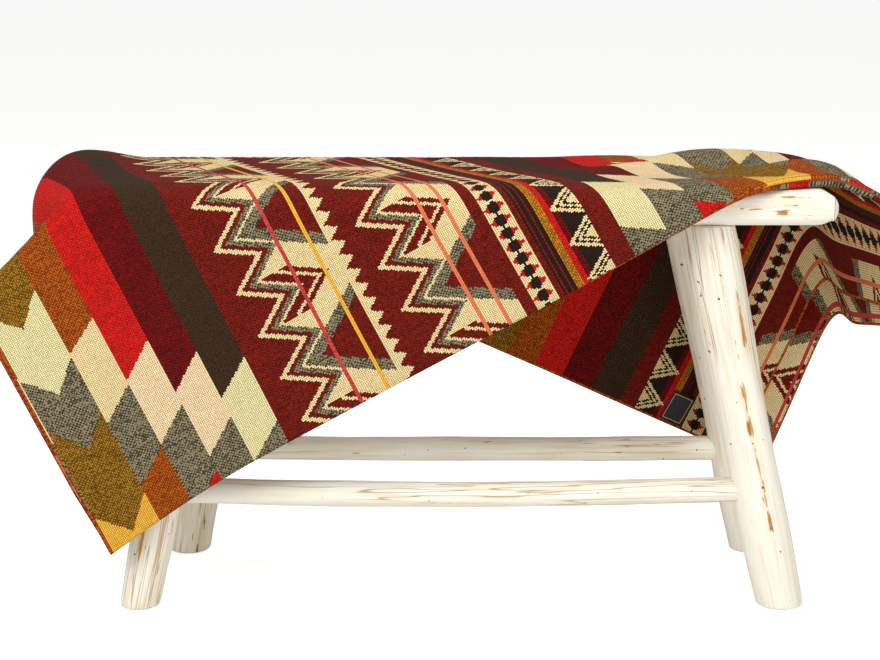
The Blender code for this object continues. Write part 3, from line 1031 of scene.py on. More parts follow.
def add_piece(name: str, bm: bmesh.types.BMesh, finish: bpy.types.Material, shift: Vector = BENCH) -> bpy.types.Object:
    """Turns a bmesh into a smooth-shaded piece.

    Args:
        name: the piece's name.
        bm: its mesh, which is used up.
        finish: its material.
        shift: how far to move it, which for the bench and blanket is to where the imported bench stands.

    Returns:
        The piece, at the origin with its place in its mesh.
    """
    bmesh.ops.translate(bm, vec=shift, verts=bm.verts[:])
    mesh = bpy.data.meshes.new(name)
    bm.to_mesh(mesh)
    bm.free()
    mesh.shade_smooth()
    mesh.materials.append(finish)
    made = bpy.data.objects.new(name, mesh)
    bpy.context.scene.collection.objects.link(made)
    return made


def report(piece: bpy.types.Object) -> None:
    """Logs a finished piece."""
    LOG.info("%s: %d faces", piece.name, len(piece.data.polygons))


@dataclass(frozen=True)
class SeatSizes:
    """The seat plank, about the bench's own centre.

    Attributes:
        length: along the bench.
        depth: from front to back.
        thick: of the plank.
        top: height of its top.
        edge: rounding of its long edges.
        end_edge: rounding of its corners, seen from above.
        end_round: how far in from its ends they are rounded.
        end_fullness: 1 for an end that is round through, and less for one that stays a little blunt.
        dip: how far its sides are uneven.
        dip_scale: bumps a metre, each way.
        wear: wear of its top and bottom.
        edge_wear: how fast the wear grows at the long edges.
        edge_wear_from: share of the half depth at which that starts.
    """

    length: float = 0.862
    depth: float = 0.250
    thick: float = 0.040
    top: float = 0.500
    edge: float = 0.014
    end_edge: float = 0.009
    end_round: float = 0.026
    end_fullness: float = 0.985
    dip: float = 0.0018
    dip_scale: Triple = (7.0, 2.0, 9.0)
    wear: float = 0.18
    edge_wear: float = 1.05
    edge_wear_from: float = 0.9


@dataclass(frozen=True)
class Worn:
    """A worn streak: share along the pole, turn in degrees, half length and half width in metres, strength."""

    share: float
    turn: float
    half_length: float
    half_width: float
    strength: float


@dataclass(frozen=True)
class Pole:
    """A round pole of the bench, from one end to the other.

    Attributes:
        name: the CAD node that it stands for.
        start: middle of one end.
        end: middle of the other end.
        start_radius: at its start.
        end_radius: at its end.
        sag: how far its middle hangs down.
        seed: sets its grain and unevenness apart from the other poles'.
        worn: its worn streaks.
    """

    name: str
    start: Triple
    end: Triple
    start_radius: float
    end_radius: float
    sag: float
    seed: float
    worn: tuple[Worn, ...] = ()


POLES = (
    Pole("leg_front_left", (-0.379, -0.101, 0.0), (-0.285, -0.093, 0.4597), 0.0235, 0.0300, 0.0, 1.0,
         (Worn(0.62, -75.0, 0.10, 0.012, 1.0), Worn(0.25, -110.0, 0.07, 0.010, 0.9))),
    Pole("leg_front_right", (0.3865, -0.097, 0.0), (0.285, -0.093, 0.4597), 0.0280, 0.0315, 0.0, 2.0,
         (Worn(0.45, -85.0, 0.16, 0.004, 1.0), Worn(0.75, -60.0, 0.05, 0.010, 0.9))),
    Pole("leg_back_left", (-0.3475, 0.096, 0.0), (-0.270, 0.093, 0.4597), 0.0270, 0.0300, 0.0, 3.0,
         (Worn(0.5, -90.0, 0.08, 0.006, 0.8),)),
    Pole("leg_back_right", (0.384, 0.096, 0.0), (0.285, 0.093, 0.4597), 0.0250, 0.0310, 0.0, 4.0,
         (Worn(0.4, -80.0, 0.09, 0.007, 0.8),)),
    Pole("stretcher_front", (-0.3402, -0.0985, 0.1415), (0.3400, -0.0958, 0.1415), 0.0150, 0.0150, 0.006, 5.0,
         (Worn(0.35, -60.0, 0.12, 0.006, 1.0), Worn(0.70, -75.0, 0.10, 0.005, 0.9))),
    Pole("stretcher_back", (-0.3102, 0.0951, 0.1360), (0.3420, 0.0951, 0.1360), 0.0155, 0.0155, 0.002, 6.0,
         (Worn(0.45, -80.0, 0.14, 0.005, 0.9),)),
)


@dataclass(frozen=True)
class Bench:
    """The white-washed log bench: a plank seat on four splayed poles with two rails.

    Attributes:
        seat: the plank's sizes.
        paint: the finish of all of it.
        segments: faces round a pole.
        cuts: rings along a pole.
        rim: rounding of a pole's rims.
        swell: how far a leg swells and narrows.
        lump: height of a pole's broad unevenness.
        fine_lump: height of its fine unevenness.
        pole_wear: wear of a pole away from its worn streaks.
        edge_steps: faces across a rounded edge of the plank.
        length_cuts: cells along the plank.
        depth_cuts: cells across it.
        end_cuts: further rings at each of its ends.
    """

    seat: SeatSizes = SeatSizes()
    paint: WornPaint = WornPaint()
    segments: int = 48
    cuts: int = 70
    rim: float = 0.0025
    swell: float = 0.0016
    lump: float = 0.0013
    fine_lump: float = 0.0004
    pole_wear: float = 0.12
    edge_steps: int = 6
    length_cuts: int = 90
    depth_cuts: int = 24
    end_cuts: int = 16

    def build(self) -> list[bpy.types.Object]:
        """Builds the whole bench.

        Returns:
            Its pieces.
        """
        finish = self.paint.material(self.paint.group())
        made = [self._seat(finish)]
        made.extend(self._pole(pole, finish) for pole in POLES)
        for piece in made:
            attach(piece, BODY)
        return made

    def _attributes(self, bm: bmesh.types.BMesh) -> tuple[object, object]:
        """Adds the grain and wear layers to a mesh."""
        return bm.verts.layers.float_vector.new("grain"), bm.verts.layers.float.new("wear")

    def _round(self, bm: bmesh.types.BMesh, edges: list[bmesh.types.BMEdge], offset: float, segments: int) -> None:
        """Rounds some edges of a mesh."""
        bmesh.ops.bevel(bm, geom=edges, offset=offset, segments=segments, profile=0.5, affect="EDGES", material=-1)

    def _cut(self, bm: bmesh.types.BMesh, at: Vector, normal: Vector) -> None:
        """Cuts a mesh along a plane, and keeps both sides."""
        bmesh.ops.bisect_plane(bm, geom=bm.verts[:] + bm.edges[:] + bm.faces[:], plane_co=at, plane_no=normal)

    def _plank(self) -> bmesh.types.BMesh:
        """The plank's even shape, with rounded edges and ends.

        Returns:
            Its mesh, cut into small cells.
        """
        s = self.seat
        bm = bmesh.new()
        bmesh.ops.create_cube(bm, size=1.0)
        bmesh.ops.scale(bm, vec=(s.length, s.depth, s.thick), verts=bm.verts[:])
        bmesh.ops.translate(bm, vec=(0, 0, s.top - s.thick / 2), verts=bm.verts[:])
        upright = [e for e in bm.edges if abs(e.verts[0].co.x - e.verts[1].co.x) < s.length / 2]
        self._round(bm, upright, s.end_edge, self.edge_steps)
        long_edges = [
            e for e in bm.edges
            if abs(e.verts[0].co.x - e.verts[1].co.x) > s.length / 2 and e.calc_face_angle(0.0) > 1.0
        ]
        self._round(bm, long_edges, s.edge, self.edge_steps)
        along, away = Vector((1, 0, 0)), Vector((0, 1, 0))
        for normal, size, count in ((along, s.length, self.length_cuts), (away, s.depth, self.depth_cuts)):
            for step in range(1, count):
                self._cut(bm, normal * (-size / 2 + size * step / count), normal)
        for step in range(1, self.end_cuts):
            inset = s.end_round * (step / self.end_cuts) ** 2
            for side in (-1.0, 1.0):
                self._cut(bm, Vector((side * (s.length / 2 - inset), 0.0, 0.0)), along)
        middle = s.top - s.thick / 2
        for vert in bm.verts:
            share = max(0.0, abs(vert.co.x) - s.length / 2 + s.end_round) / s.end_round
            vert.co.z = middle + (vert.co.z - middle) * math.sqrt(max(0.0, 1.0 - s.end_fullness * share * share))
        return bm

    def _seat(self, finish: bpy.types.Material) -> bpy.types.Object:
        """The plank, with worn edges and a slightly uneven outline.

        Args:
            finish: the bench's material.

        Returns:
            The piece.
        """
        s = self.seat
        bm = self._plank()
        grain, wear = self._attributes(bm)
        bm.normal_update()
        moves = []
        for vert in bm.verts:
            vert[grain] = vert.co.copy()
            vert[wear] = s.wear + s.edge_wear * max(0.0, abs(vert.co.y) / (s.depth / 2) - s.edge_wear_from)
            spot = Vector([place * scale for place, scale in zip(vert.co, s.dip_scale)])
            side = Vector((vert.normal.x, vert.normal.y, 0.0))
            moves.append((vert, -side * s.dip * (0.5 + 0.5 * noise.noise(spot))))
        for vert, move in moves:
            vert.co += move
        piece = add_piece("seat_plank", bm, finish)
        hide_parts("seat")
        return piece

    def _pole(self, pole: Pole, finish: bpy.types.Material) -> bpy.types.Object:
        """A pole with soft swells, knots and worn streaks.

        Args:
            pole: which pole.
            finish: the bench's material.

        Returns:
            The piece.
        """
        start, end = Vector(pole.start), Vector(pole.end)
        length = (end - start).length
        bm = bmesh.new()
        bmesh.ops.create_cone(bm, cap_ends=True, segments=self.segments, radius1=pole.start_radius,
                              radius2=pole.start_radius, depth=length)
        rims = [e for e in bm.edges if abs(e.verts[0].co.z - e.verts[1].co.z) < length / 2]
        self._round(bm, rims, self.rim, 2)
        staves = [e for e in bm.edges if abs(e.verts[0].co.z - e.verts[1].co.z) > length / 2]
        bmesh.ops.subdivide_edges(bm, edges=staves, cuts=self.cuts)
        grain, wear = self._attributes(bm)
        upright = pole.name.startswith("leg")
        for vert in bm.verts:
            share = min(max(vert.co.z / length + 0.5, 0.0), 1.0)
            turn = math.atan2(vert.co.y, vert.co.x)
            vert[grain] = Vector((share * length + pole.seed, vert.co.x, vert.co.y + pole.seed * 0.3))
            vert[wear] = self._wear(pole, share, turn, length)
            radius = self._radius(pole, share, turn, upright)
            out = radius / pole.start_radius * Vector((vert.co.x, vert.co.y, 0.0))
            centre = start.lerp(end, share) - Vector((0, 0, pole.sag * math.sin(math.pi * share)))
            if upright:
                vert.co = centre + Vector((out.x, out.y, 0.0))
            else:
                vert.co = centre + Vector((0.0, out.x, out.y))
        bmesh.ops.recalc_face_normals(bm, faces=bm.faces[:])
        piece = add_piece(pole.name.replace("leg", "pole").replace("stretcher", "rail"), bm, finish)
        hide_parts(pole.name)
        return piece

    def _radius(self, pole: Pole, share: float, turn: float, upright: bool) -> float:
        """A pole's radius at a place on it.

        Args:
            pole: which pole.
            share: how far along it.
            turn: angle round it.
            upright: whether it is a leg.

        Returns:
            The radius in metres.
        """
        base = pole.start_radius + (pole.end_radius - pole.start_radius) * share
        if upright:
            base += self.swell * math.sin(3 * math.pi * share)
        spot = Vector((math.cos(turn) * 0.9, math.sin(turn) * 0.9, share * 5.0 + pole.seed * 3.7))
        rough = Vector((math.cos(turn) * 3.0, math.sin(turn) * 3.0, share * 16.0 + pole.seed * 1.9))
        return base + noise.noise(spot) * self.lump + noise.noise(rough) * self.fine_lump

    def _wear(self, pole: Pole, share: float, turn: float, length: float) -> float:
        """How worn a pole is at a place on it.

        Args:
            pole: which pole.
            share: how far along it.
            turn: angle round it.
            length: its length.

        Returns:
            About 0 where the paint is whole and 1 where it is gone.
        """
        found = self.pole_wear
        for spot in pole.worn:
            away = (share - spot.share) * length / spot.half_length
            round_it = math.remainder(turn - math.radians(spot.turn), math.tau) * pole.start_radius / spot.half_width
            found = max(found, spot.strength * math.exp(-away * away - round_it * round_it))
        return found


@dataclass(frozen=True)
class Fold:
    """A soft ridge or trough in the cloth: its place, heading in degrees, length, width and height."""

    x: float
    s: float
    heading: float
    length: float
    width: float
    height: float


FOLDS = (
    Fold(-0.458, 0.170, 90.0, 0.110, 0.046, 0.022),
    Fold(0.300, 0.190, 28.0, 0.130, 0.038, 0.022),
    Fold(0.400, 0.130, 36.0, 0.085, 0.035, 0.016),
    Fold(0.180, 0.235, 10.0, 0.110, 0.030, 0.007),
    Fold(-0.120, -0.210, 62.0, 0.200, 0.055, 0.004),
    Fold(0.090, 0.430, 66.0, 0.140, 0.040, 0.007),
    Fold(0.340, 0.520, 70.0, 0.160, 0.045, -0.006),
    Fold(0.430, 0.430, 76.0, 0.140, 0.030, 0.012),
)


def smooth_step(value: np.ndarray) -> np.ndarray:
    """0 below 0, 1 above 1, and a soft rise between."""
    value = np.clip(value, 0.0, 1.0)
    return value * value * (3 - 2 * value)


@dataclass(frozen=True)
class DrapeSizes:
    """The folded cloth and how it passes the seat's edges, in metres and radians.

    Attributes:
        length: of the middle surface along the edge fold, longer than the cloth.
        width: from the edge fold to the hems.
        end: how far along the fold the cloth ends.
        upper_end_lean: how far the outer layer's end leans out with the distance from the fold.
        lower_end_lean: the same for the inner layer.
        lower_end_short: how much shorter the inner layer is.
        cut_length: length of the cloth as cut, at its hems' mean; not used.
        lower_start_out: how far the inner layer peeks out at the start.
        lower_start_fade: how far from the fold that is reached.
        start_lean: how far the start leans with the distance from the fold.
        thick: of a layer.
        solid_thick: of a layer of the CAD solid.
        half_gap: from the middle surface to the middle of a layer.
        turn: how far the cloth is turned on the bench.
        corner_x: where its first corner lies along the bench.
        corner_s: where it lies over the bench.
        smooth_length: how widely creases are smoothed.
        bow: how far the edge fold bows up the cloth.
        bow_left: what is left of that at the far end.
        bow_rise: over what length the bow grows.
        bow_fall: over what length it falls.
        bow_reach: how far up the cloth it is felt.
        puff: how far the fold stands open at the seat's right end.
        puff_at: where that is.
        puff_length: how long it is.
        puff_reach: how far up the cloth it is felt.
        flat_clear: gap over the seat's top.
        edge_clear: gap at its edges.
        edge_blend: how soon the one becomes the other.
        settle_reach: how far from the seat's middle line the cloth may touch it.
        front_y: where the cloth hangs in front.
        front_radius: its turn over the front edge.
        back_y: where it hangs behind.
        back_radius: its turn over the back edge.
        side_x: where it leaves the seat's right end.
        left_x: where its turn over the left end starts.
        left_x_swell: how much further out that is away from the corner.
        left_radius_min: that turn at the corner.
        left_radius_max: that turn away from the corner.
        left_swell_reach: how soon the one becomes the other.
        fin_radius: half width of the fold at the front left corner.
        fin_start: how soon it is whole.
        tuck_depth: how soon its back half is tucked behind.
        tuck_fade: how soon that fades.
        slack_per_metre: cloth taken up in soft folds on the right.
        leave_heading: which way the cloth leaves the right end.
        hang_from: place along the fold from which it hangs upright there.
        hang_lead: least length of the arch before that.
        hang_corner: where its front corner hangs.
        hang_height: height of that corner's start.
        hang_stretch: how much longer it hangs than it is.
        pleat: how far the crease is drawn in.
        pleat_width: how wide it is.
        hang_swell: how far the hanging part swells.
        crease_u: a place along the fold on the crease's line.
        crease_v: distance of that place from the fold.
        crease_slope: how fast the crease moves away from the fold.
        crease_least: its least distance from the fold.
    """

    length: float = 1.285
    width: float = 0.595
    end: float = 1.200
    upper_end_lean: float = 0.130
    lower_end_lean: float = 0.070
    lower_end_short: float = 0.012
    cut_length: float = 1.25
    lower_start_out: float = 0.0055
    lower_start_fade: float = 0.03
    start_lean: float = 0.075
    thick: float = 0.0026
    solid_thick: float = 0.003
    half_gap: float = 0.0030
    turn: float = math.radians(30.0)
    corner_x: float = -0.4013
    corner_s: float = -0.418
    smooth_length: float = 0.016
    bow: float = 0.0140
    bow_left: float = 0.0040
    bow_rise: float = 0.20
    bow_fall: float = 0.50
    bow_reach: float = 0.22
    puff: float = 0.0035
    puff_at: float = 0.930
    puff_length: float = 0.085
    puff_reach: float = 0.050
    flat_clear: float = 0.0004
    edge_clear: float = 0.0030
    edge_blend: float = 0.08
    settle_reach: float = 0.06
    front_y: float = -0.152
    front_radius: float = 0.025
    back_y: float = 0.139
    back_radius: float = 0.021
    side_x: float = 0.434
    left_x: float = 0.430
    left_x_swell: float = 0.012
    left_radius_min: float = 0.014
    left_radius_max: float = 0.054
    left_swell_reach: float = 0.11
    fin_radius: float = 0.010
    fin_start: float = 0.05
    tuck_depth: float = 0.03
    tuck_fade: float = 0.04
    slack_per_metre: float = 0.13
    leave_heading: Triple = (0.85, 0.35, -0.25)
    hang_from: float = 1.130
    hang_lead: float = 0.02
    hang_corner: Span = (0.560, -0.080)
    hang_height: float = 0.402
    hang_stretch: float = 1.08
    pleat: Triple = (0.0, -0.016, -0.028)
    pleat_width: float = 0.032
    hang_swell: Triple = (0.006, 0.004, 0.0)
    crease_u: float = 1.080
    crease_v: float = 0.210
    crease_slope: float = 0.95
    crease_least: float = 0.05


class Drape:
    """The middle surface of the folded cloth, laid askew over the unrolled outline of the seat."""

    def __init__(self, sizes: DrapeSizes, seat: SeatSizes, cells_long: int, cells_wide: int) -> None:
        """Works the surface out as a grid of points.

        Args:
            sizes: the cloth's sizes.
            seat: the plank it lies on.
            cells_long: grid cells along the fold.
            cells_wide: grid cells across a layer.
        """
        self.sizes = sizes
        self.seat = seat
        self.rest = seat.top + sizes.half_gap + sizes.solid_thick / 2 + sizes.flat_clear
        share_u = np.linspace(0.0, 1.0, cells_long + 1)
        share_v = np.linspace(0.0, 1.0, cells_wide + 1)
        u, v = np.meshgrid(share_u * sizes.length, share_v * sizes.width, indexing="ij")
        x, s, place = self._laid(u, v)
        passes = max(1, round((sizes.smooth_length / (sizes.length / cells_long)) ** 2 * 4))
        place = self._smoothed(place, passes)
        place = place + self._normals(place) * self._fold_height(x, s)[..., None]
        self.place = self._settled(self._cleared(place))
        self.normal = self._normals(self.place)

    def _slack(self, x: np.ndarray) -> np.ndarray:
        """Cloth taken up in soft folds on the right half of the seat."""
        return self.sizes.slack_per_metre * np.maximum(x, 0.0)

    def _over_seat(self, x: np.ndarray, s: np.ndarray) -> np.ndarray:
        """Where the cloth lies between the seat's ends.

        Args:
            x: place along the bench.
            s: distance from the seat's front edge, over the top and down the back.

        Returns:
            The points.
        """
        z = self.sizes
        front_arc = math.pi * z.front_radius / 4
        back_arc = math.pi * z.back_radius / 4
        flat = (z.back_y - z.back_radius) - (z.front_y + z.front_radius)
        long_flat = flat + self._slack(x)
        end = front_arc + long_flat
        turn = np.clip((s + front_arc) / z.front_radius, 0.0, math.pi / 2)
        drop = np.maximum(-s - front_arc, 0.0)
        y = z.front_y + z.front_radius * (1 - np.cos(turn))
        up = self.rest - z.front_radius * (1 - np.sin(turn)) - drop
        y = y + np.clip(s - front_arc, 0.0, long_flat) * flat / long_flat
        turn = np.clip((s - end) / z.back_radius, 0.0, math.pi / 2)
        y = y + z.back_radius * np.sin(turn)
        up = up - z.back_radius * (1 - np.cos(turn)) - np.maximum(s - end - 2 * back_arc, 0.0)
        return np.stack([x, y, up], axis=-1)

    def _left_end(self, x: np.ndarray, s: np.ndarray) -> np.ndarray:
        """The cloth that bulges out past the seat's left end and hangs there.

        Args:
            x: place along the bench.
            s: distance over it.

        Returns:
            The points, good past the left end and behind the seat's front edge.
        """
        z = self.sizes
        reach = smooth_step(s / z.left_swell_reach)
        side = z.left_x + z.left_x_swell * reach
        out = np.maximum(-side - x, 0.0)
        radius = z.left_radius_min + (z.left_radius_max - z.left_radius_min) * reach
        turn = np.clip(out / radius, 0.0, math.pi / 2)
        base = self._over_seat(np.maximum(x, -side), np.maximum(s, 0.0))
        base[..., 0] -= radius * np.sin(turn)
        base[..., 2] -= radius * (1 - np.cos(turn)) + np.maximum(out - radius * math.pi / 2, 0.0)
        behind = 2 * z.fin_radius * np.exp(-np.maximum(s, 0.0) / z.tuck_fade)
        base[..., 1] += behind * smooth_step(out / z.tuck_depth)
        return base

    def _front_left_fin(self, x: np.ndarray, s: np.ndarray) -> np.ndarray:
        """The spare cloth of the front left corner, a fold whose back half is tucked behind.

        Args:
            x: place along the bench.
            s: distance over it.

        Returns:
            The points, good past the left end and in front of the seat's front edge.
        """
        z = self.sizes
        out = -z.left_x - x
        down = -s
        along = (out + down) / math.sqrt(2)
        across = (out - down) / math.sqrt(2)
        turn = np.clip(across / z.fin_radius, -math.pi / 2, math.pi / 2)
        inward = z.fin_radius * (1 - np.cos(turn)) + np.maximum(np.abs(across) - z.fin_radius * math.pi / 2, 0.0)
        depth = z.fin_radius * (1 + np.sin(turn))
        folded = np.stack([-z.left_x + (inward - along) / math.sqrt(2), z.front_y + depth,
                           self.rest - (inward + along) / math.sqrt(2)], axis=-1)
        near = smooth_step((out + down) / z.fin_start)[..., None]
        return self._over_seat(x, s) * (1 - near) + folded * near

    def _curtain(self, u: np.ndarray, v: np.ndarray) -> np.ndarray:
        """The double cloth past the right end: it arches out over the end and hangs there like a curtain.

        Args:
            u: place along the edge fold.
            v: distance from the edge fold.

        Returns:
            The points, good between the seat's end and the crease where the curtain meets the back.
        """
        z = self.sizes
        leave = (z.side_x - z.corner_x + v * math.sin(z.turn)) / math.cos(z.turn)
        start = self._over_seat(np.full_like(v, z.side_x), self._unrolled(leave, v)[1])
        top = np.maximum(z.hang_from, leave + z.hang_lead)
        share = np.clip((u - leave) / (top - leave), 0.0, 1.0)[..., None]
        length = (top - leave)[..., None]
        end = self._hanging(top, v)
        out = np.array(z.leave_heading) * length
        down = np.array([0.0, 0.0, -1.0]) * length
        arch = ((2 * share**3 - 3 * share**2 + 1) * start + (share**3 - 2 * share**2 + share) * out
                + (3 * share**2 - 2 * share**3) * end + (share**3 - share**2) * down)
        return np.where((u < top)[..., None], arch, self._hanging(np.maximum(u, top), v))

    def _hanging(self, u: np.ndarray, v: np.ndarray) -> np.ndarray:
        """The upright part of the curtain, from its front corner to the crease.

        Args:
            u: place along the edge fold.
            v: distance from the edge fold.

        Returns:
            The points.
        """
        z = self.sizes
        inner = np.maximum(self._crease(u), z.crease_least)
        share = np.clip(v / inner, 0.0, 1.0)[..., None]
        x, s = self._unrolled(u, inner)
        low = np.maximum(u - z.hang_from, 0.0) * (z.hang_stretch - 1)
        near = self._over_seat(x, s) - np.stack([0 * u, 0 * u, low], axis=-1) * (1 - share)
        far = np.stack([np.full_like(u, z.hang_corner[0]), np.full_like(u, z.hang_corner[1]),
                        z.hang_height - (u - z.hang_from) - low], axis=-1)
        swell = np.sin(math.pi * share) * np.array(z.hang_swell)
        pleat = smooth_step((inner - v) / z.pleat_width)[..., None] * share * np.array(z.pleat)
        return far * (1 - share) + near * share + swell + pleat

    def _crease(self, u: np.ndarray) -> np.ndarray:
        """Distance from the edge fold of the crease where the curtain meets the sheet down the back."""
        return self.sizes.crease_v + self.sizes.crease_slope * (u - self.sizes.crease_u)

    def _unrolled(self, u: np.ndarray, v: np.ndarray) -> tuple[np.ndarray, np.ndarray]:
        """Where a place on the flat cloth comes to lie.

        Args:
            u: place along the edge fold.
            v: distance from the edge fold.

        Returns:
            Place along the bench and distance over it.
        """
        z = self.sizes
        return (z.corner_x + u * math.cos(z.turn) - v * math.sin(z.turn),
                z.corner_s + u * math.sin(z.turn) + v * math.cos(z.turn))

    def _laid(self, u: np.ndarray, v: np.ndarray) -> tuple[np.ndarray, np.ndarray, np.ndarray]:
        """Lays the flat folded cloth over the bench.

        Args:
            u: place along the edge fold.
            v: distance from the edge fold.

        Returns:
            Place along the bench, distance over it, and the points.
        """
        z = self.sizes
        x, s = self._unrolled(u, v)
        place = self._over_seat(x, s)
        crease = self._crease(u)
        for chosen, shape, where in (
            ((x < -z.left_x) & (s >= 0), self._left_end, (x, s)),
            ((x < -z.left_x) & (s < 0), self._front_left_fin, (x, s)),
            ((x > z.side_x) & (v < crease), self._curtain, (u, v)),
        ):
            place = np.where(chosen[..., None], shape(*where), place)
        return x, s, place

    def _normals(self, place: np.ndarray) -> np.ndarray:
        """Unit normals of a grid of points, pointing away from the bench."""
        found = np.cross(np.gradient(place, axis=0), np.gradient(place, axis=1))
        return found / np.maximum(np.linalg.norm(found, axis=-1, keepdims=True), 1e-12)

    def _smoothed(self, place: np.ndarray, passes: int) -> np.ndarray:
        """The grid with each point drawn towards its neighbours.

        Args:
            place: the grid of points.
            passes: how often.

        Returns:
            The smoothed grid.
        """
        for _ in range(passes):
            rows = np.concatenate([2 * place[:1] - place[1:2], place, 2 * place[-1:] - place[-2:-1]], axis=0)
            grown = np.concatenate([2 * rows[:, :1] - rows[:, 1:2], rows, 2 * rows[:, -1:] - rows[:, -2:-1]], axis=1)
            near = grown[:-2, 1:-1] + grown[2:, 1:-1] + grown[1:-1, :-2] + grown[1:-1, 2:]
            place = 0.5 * place + 0.125 * near
        return place

    def _seat_push(self, point: np.ndarray) -> np.ndarray:
        """How far, and which way, points have to move to clear the seat.

        Args:
            point: the points.

        Returns:
            The moves, 0 for a point that is clear.
        """
        seat, z = self.seat, self.sizes
        half = np.array([seat.length / 2, seat.depth / 2, seat.thick / 2]) - seat.edge
        offset = point - np.array([0.0, 0.0, seat.top - seat.thick / 2])
        beyond = np.maximum(np.abs(offset) - half, 0.0)
        reach = np.maximum(np.linalg.norm(beyond, axis=-1, keepdims=True), 1e-9)
        away = beyond / reach * np.where(offset < 0, -1.0, 1.0)
        edge = np.clip((1 - np.abs(away).max(axis=-1, keepdims=True)) / z.edge_blend, 0.0, 1.0)
        needed = seat.edge + z.half_gap + z.solid_thick / 2 + z.flat_clear + (z.edge_clear - z.flat_clear) * edge
        return away * np.maximum(needed - reach, 0.0)

    def _cleared(self, place: np.ndarray, rounds: int = 16, last: int = 2, passes: int = 30) -> np.ndarray:
        """The grid pushed clear of the seat, with the push spread softly round it.

        Args:
            place: the grid of points.
            rounds: how many pushes.
            last: how many of them, at the end, aren't spread.
            passes: how widely each push is spread.

        Returns:
            The cleared grid.
        """
        start = place
        for push in range(rounds):
            if push < rounds - last:
                place = start + self._smoothed(place - start, passes)
            place = place + self._seat_push(place)
        return place

    def _settled(self, place: np.ndarray) -> np.ndarray:
        """The grid let down until the cloth touches the middle of the seat."""
        over = (np.abs(place[..., 0]) < self.seat.length / 2) & (np.abs(place[..., 1]) < self.sizes.settle_reach)
        return place - np.array([0.0, 0.0, place[over][:, 2].min() - self.rest])

    def _fold_height(self, x: np.ndarray, s: np.ndarray) -> np.ndarray:
        """How far the soft folds lift the cloth.

        Args:
            x: place along the bench.
            s: distance over it.

        Returns:
            The lift at each point.
        """
        height = np.zeros_like(x)
        for fold in FOLDS:
            cos, sin = math.cos(math.radians(fold.heading)), math.sin(math.radians(fold.heading))
            along = (x - fold.x) * cos + (s - fold.s) * sin
            across = (s - fold.s) * cos - (x - fold.x) * sin
            height += fold.height * np.exp(-((along / fold.length) ** 2) - (across / fold.width) ** 2)
        return height

    def _at(self, grid: np.ndarray, u: np.ndarray, v: np.ndarray) -> np.ndarray:
        """A grid's value at places between its points.

        Args:
            grid: the grid of points or normals.
            u: places along the edge fold.
            v: distances from the edge fold.

        Returns:
            The values.
        """
        rows, columns = grid.shape[0] - 1, grid.shape[1] - 1
        i = np.clip(u / self.sizes.length * rows, 0, rows)
        j = np.clip(v / self.sizes.width * columns, 0, columns)
        i0, j0 = np.minimum(i.astype(int), rows - 1), np.minimum(j.astype(int), columns - 1)
        fi, fj = (i - i0)[..., None], (j - j0)[..., None]
        near = grid[i0, j0] * (1 - fi) + grid[i0 + 1, j0] * fi
        far = grid[i0, j0 + 1] * (1 - fi) + grid[i0 + 1, j0 + 1] * fi
        return near * (1 - fj) + far * fj

    def points(self, u: np.ndarray, v: np.ndarray, height: np.ndarray) -> np.ndarray:
        """Points over the middle surface.

        Args:
            u: places along the edge fold.
            v: distances from the edge fold.
            height: how far out from the surface each is, away from the bench.

        Returns:
            The points, about the bench's own centre.
        """
        direction = self._at(self.normal, u, v)
        direction = direction / np.linalg.norm(direction, axis=-1, keepdims=True)
        return self._at(self.place, u, v) + direction * height[..., None]


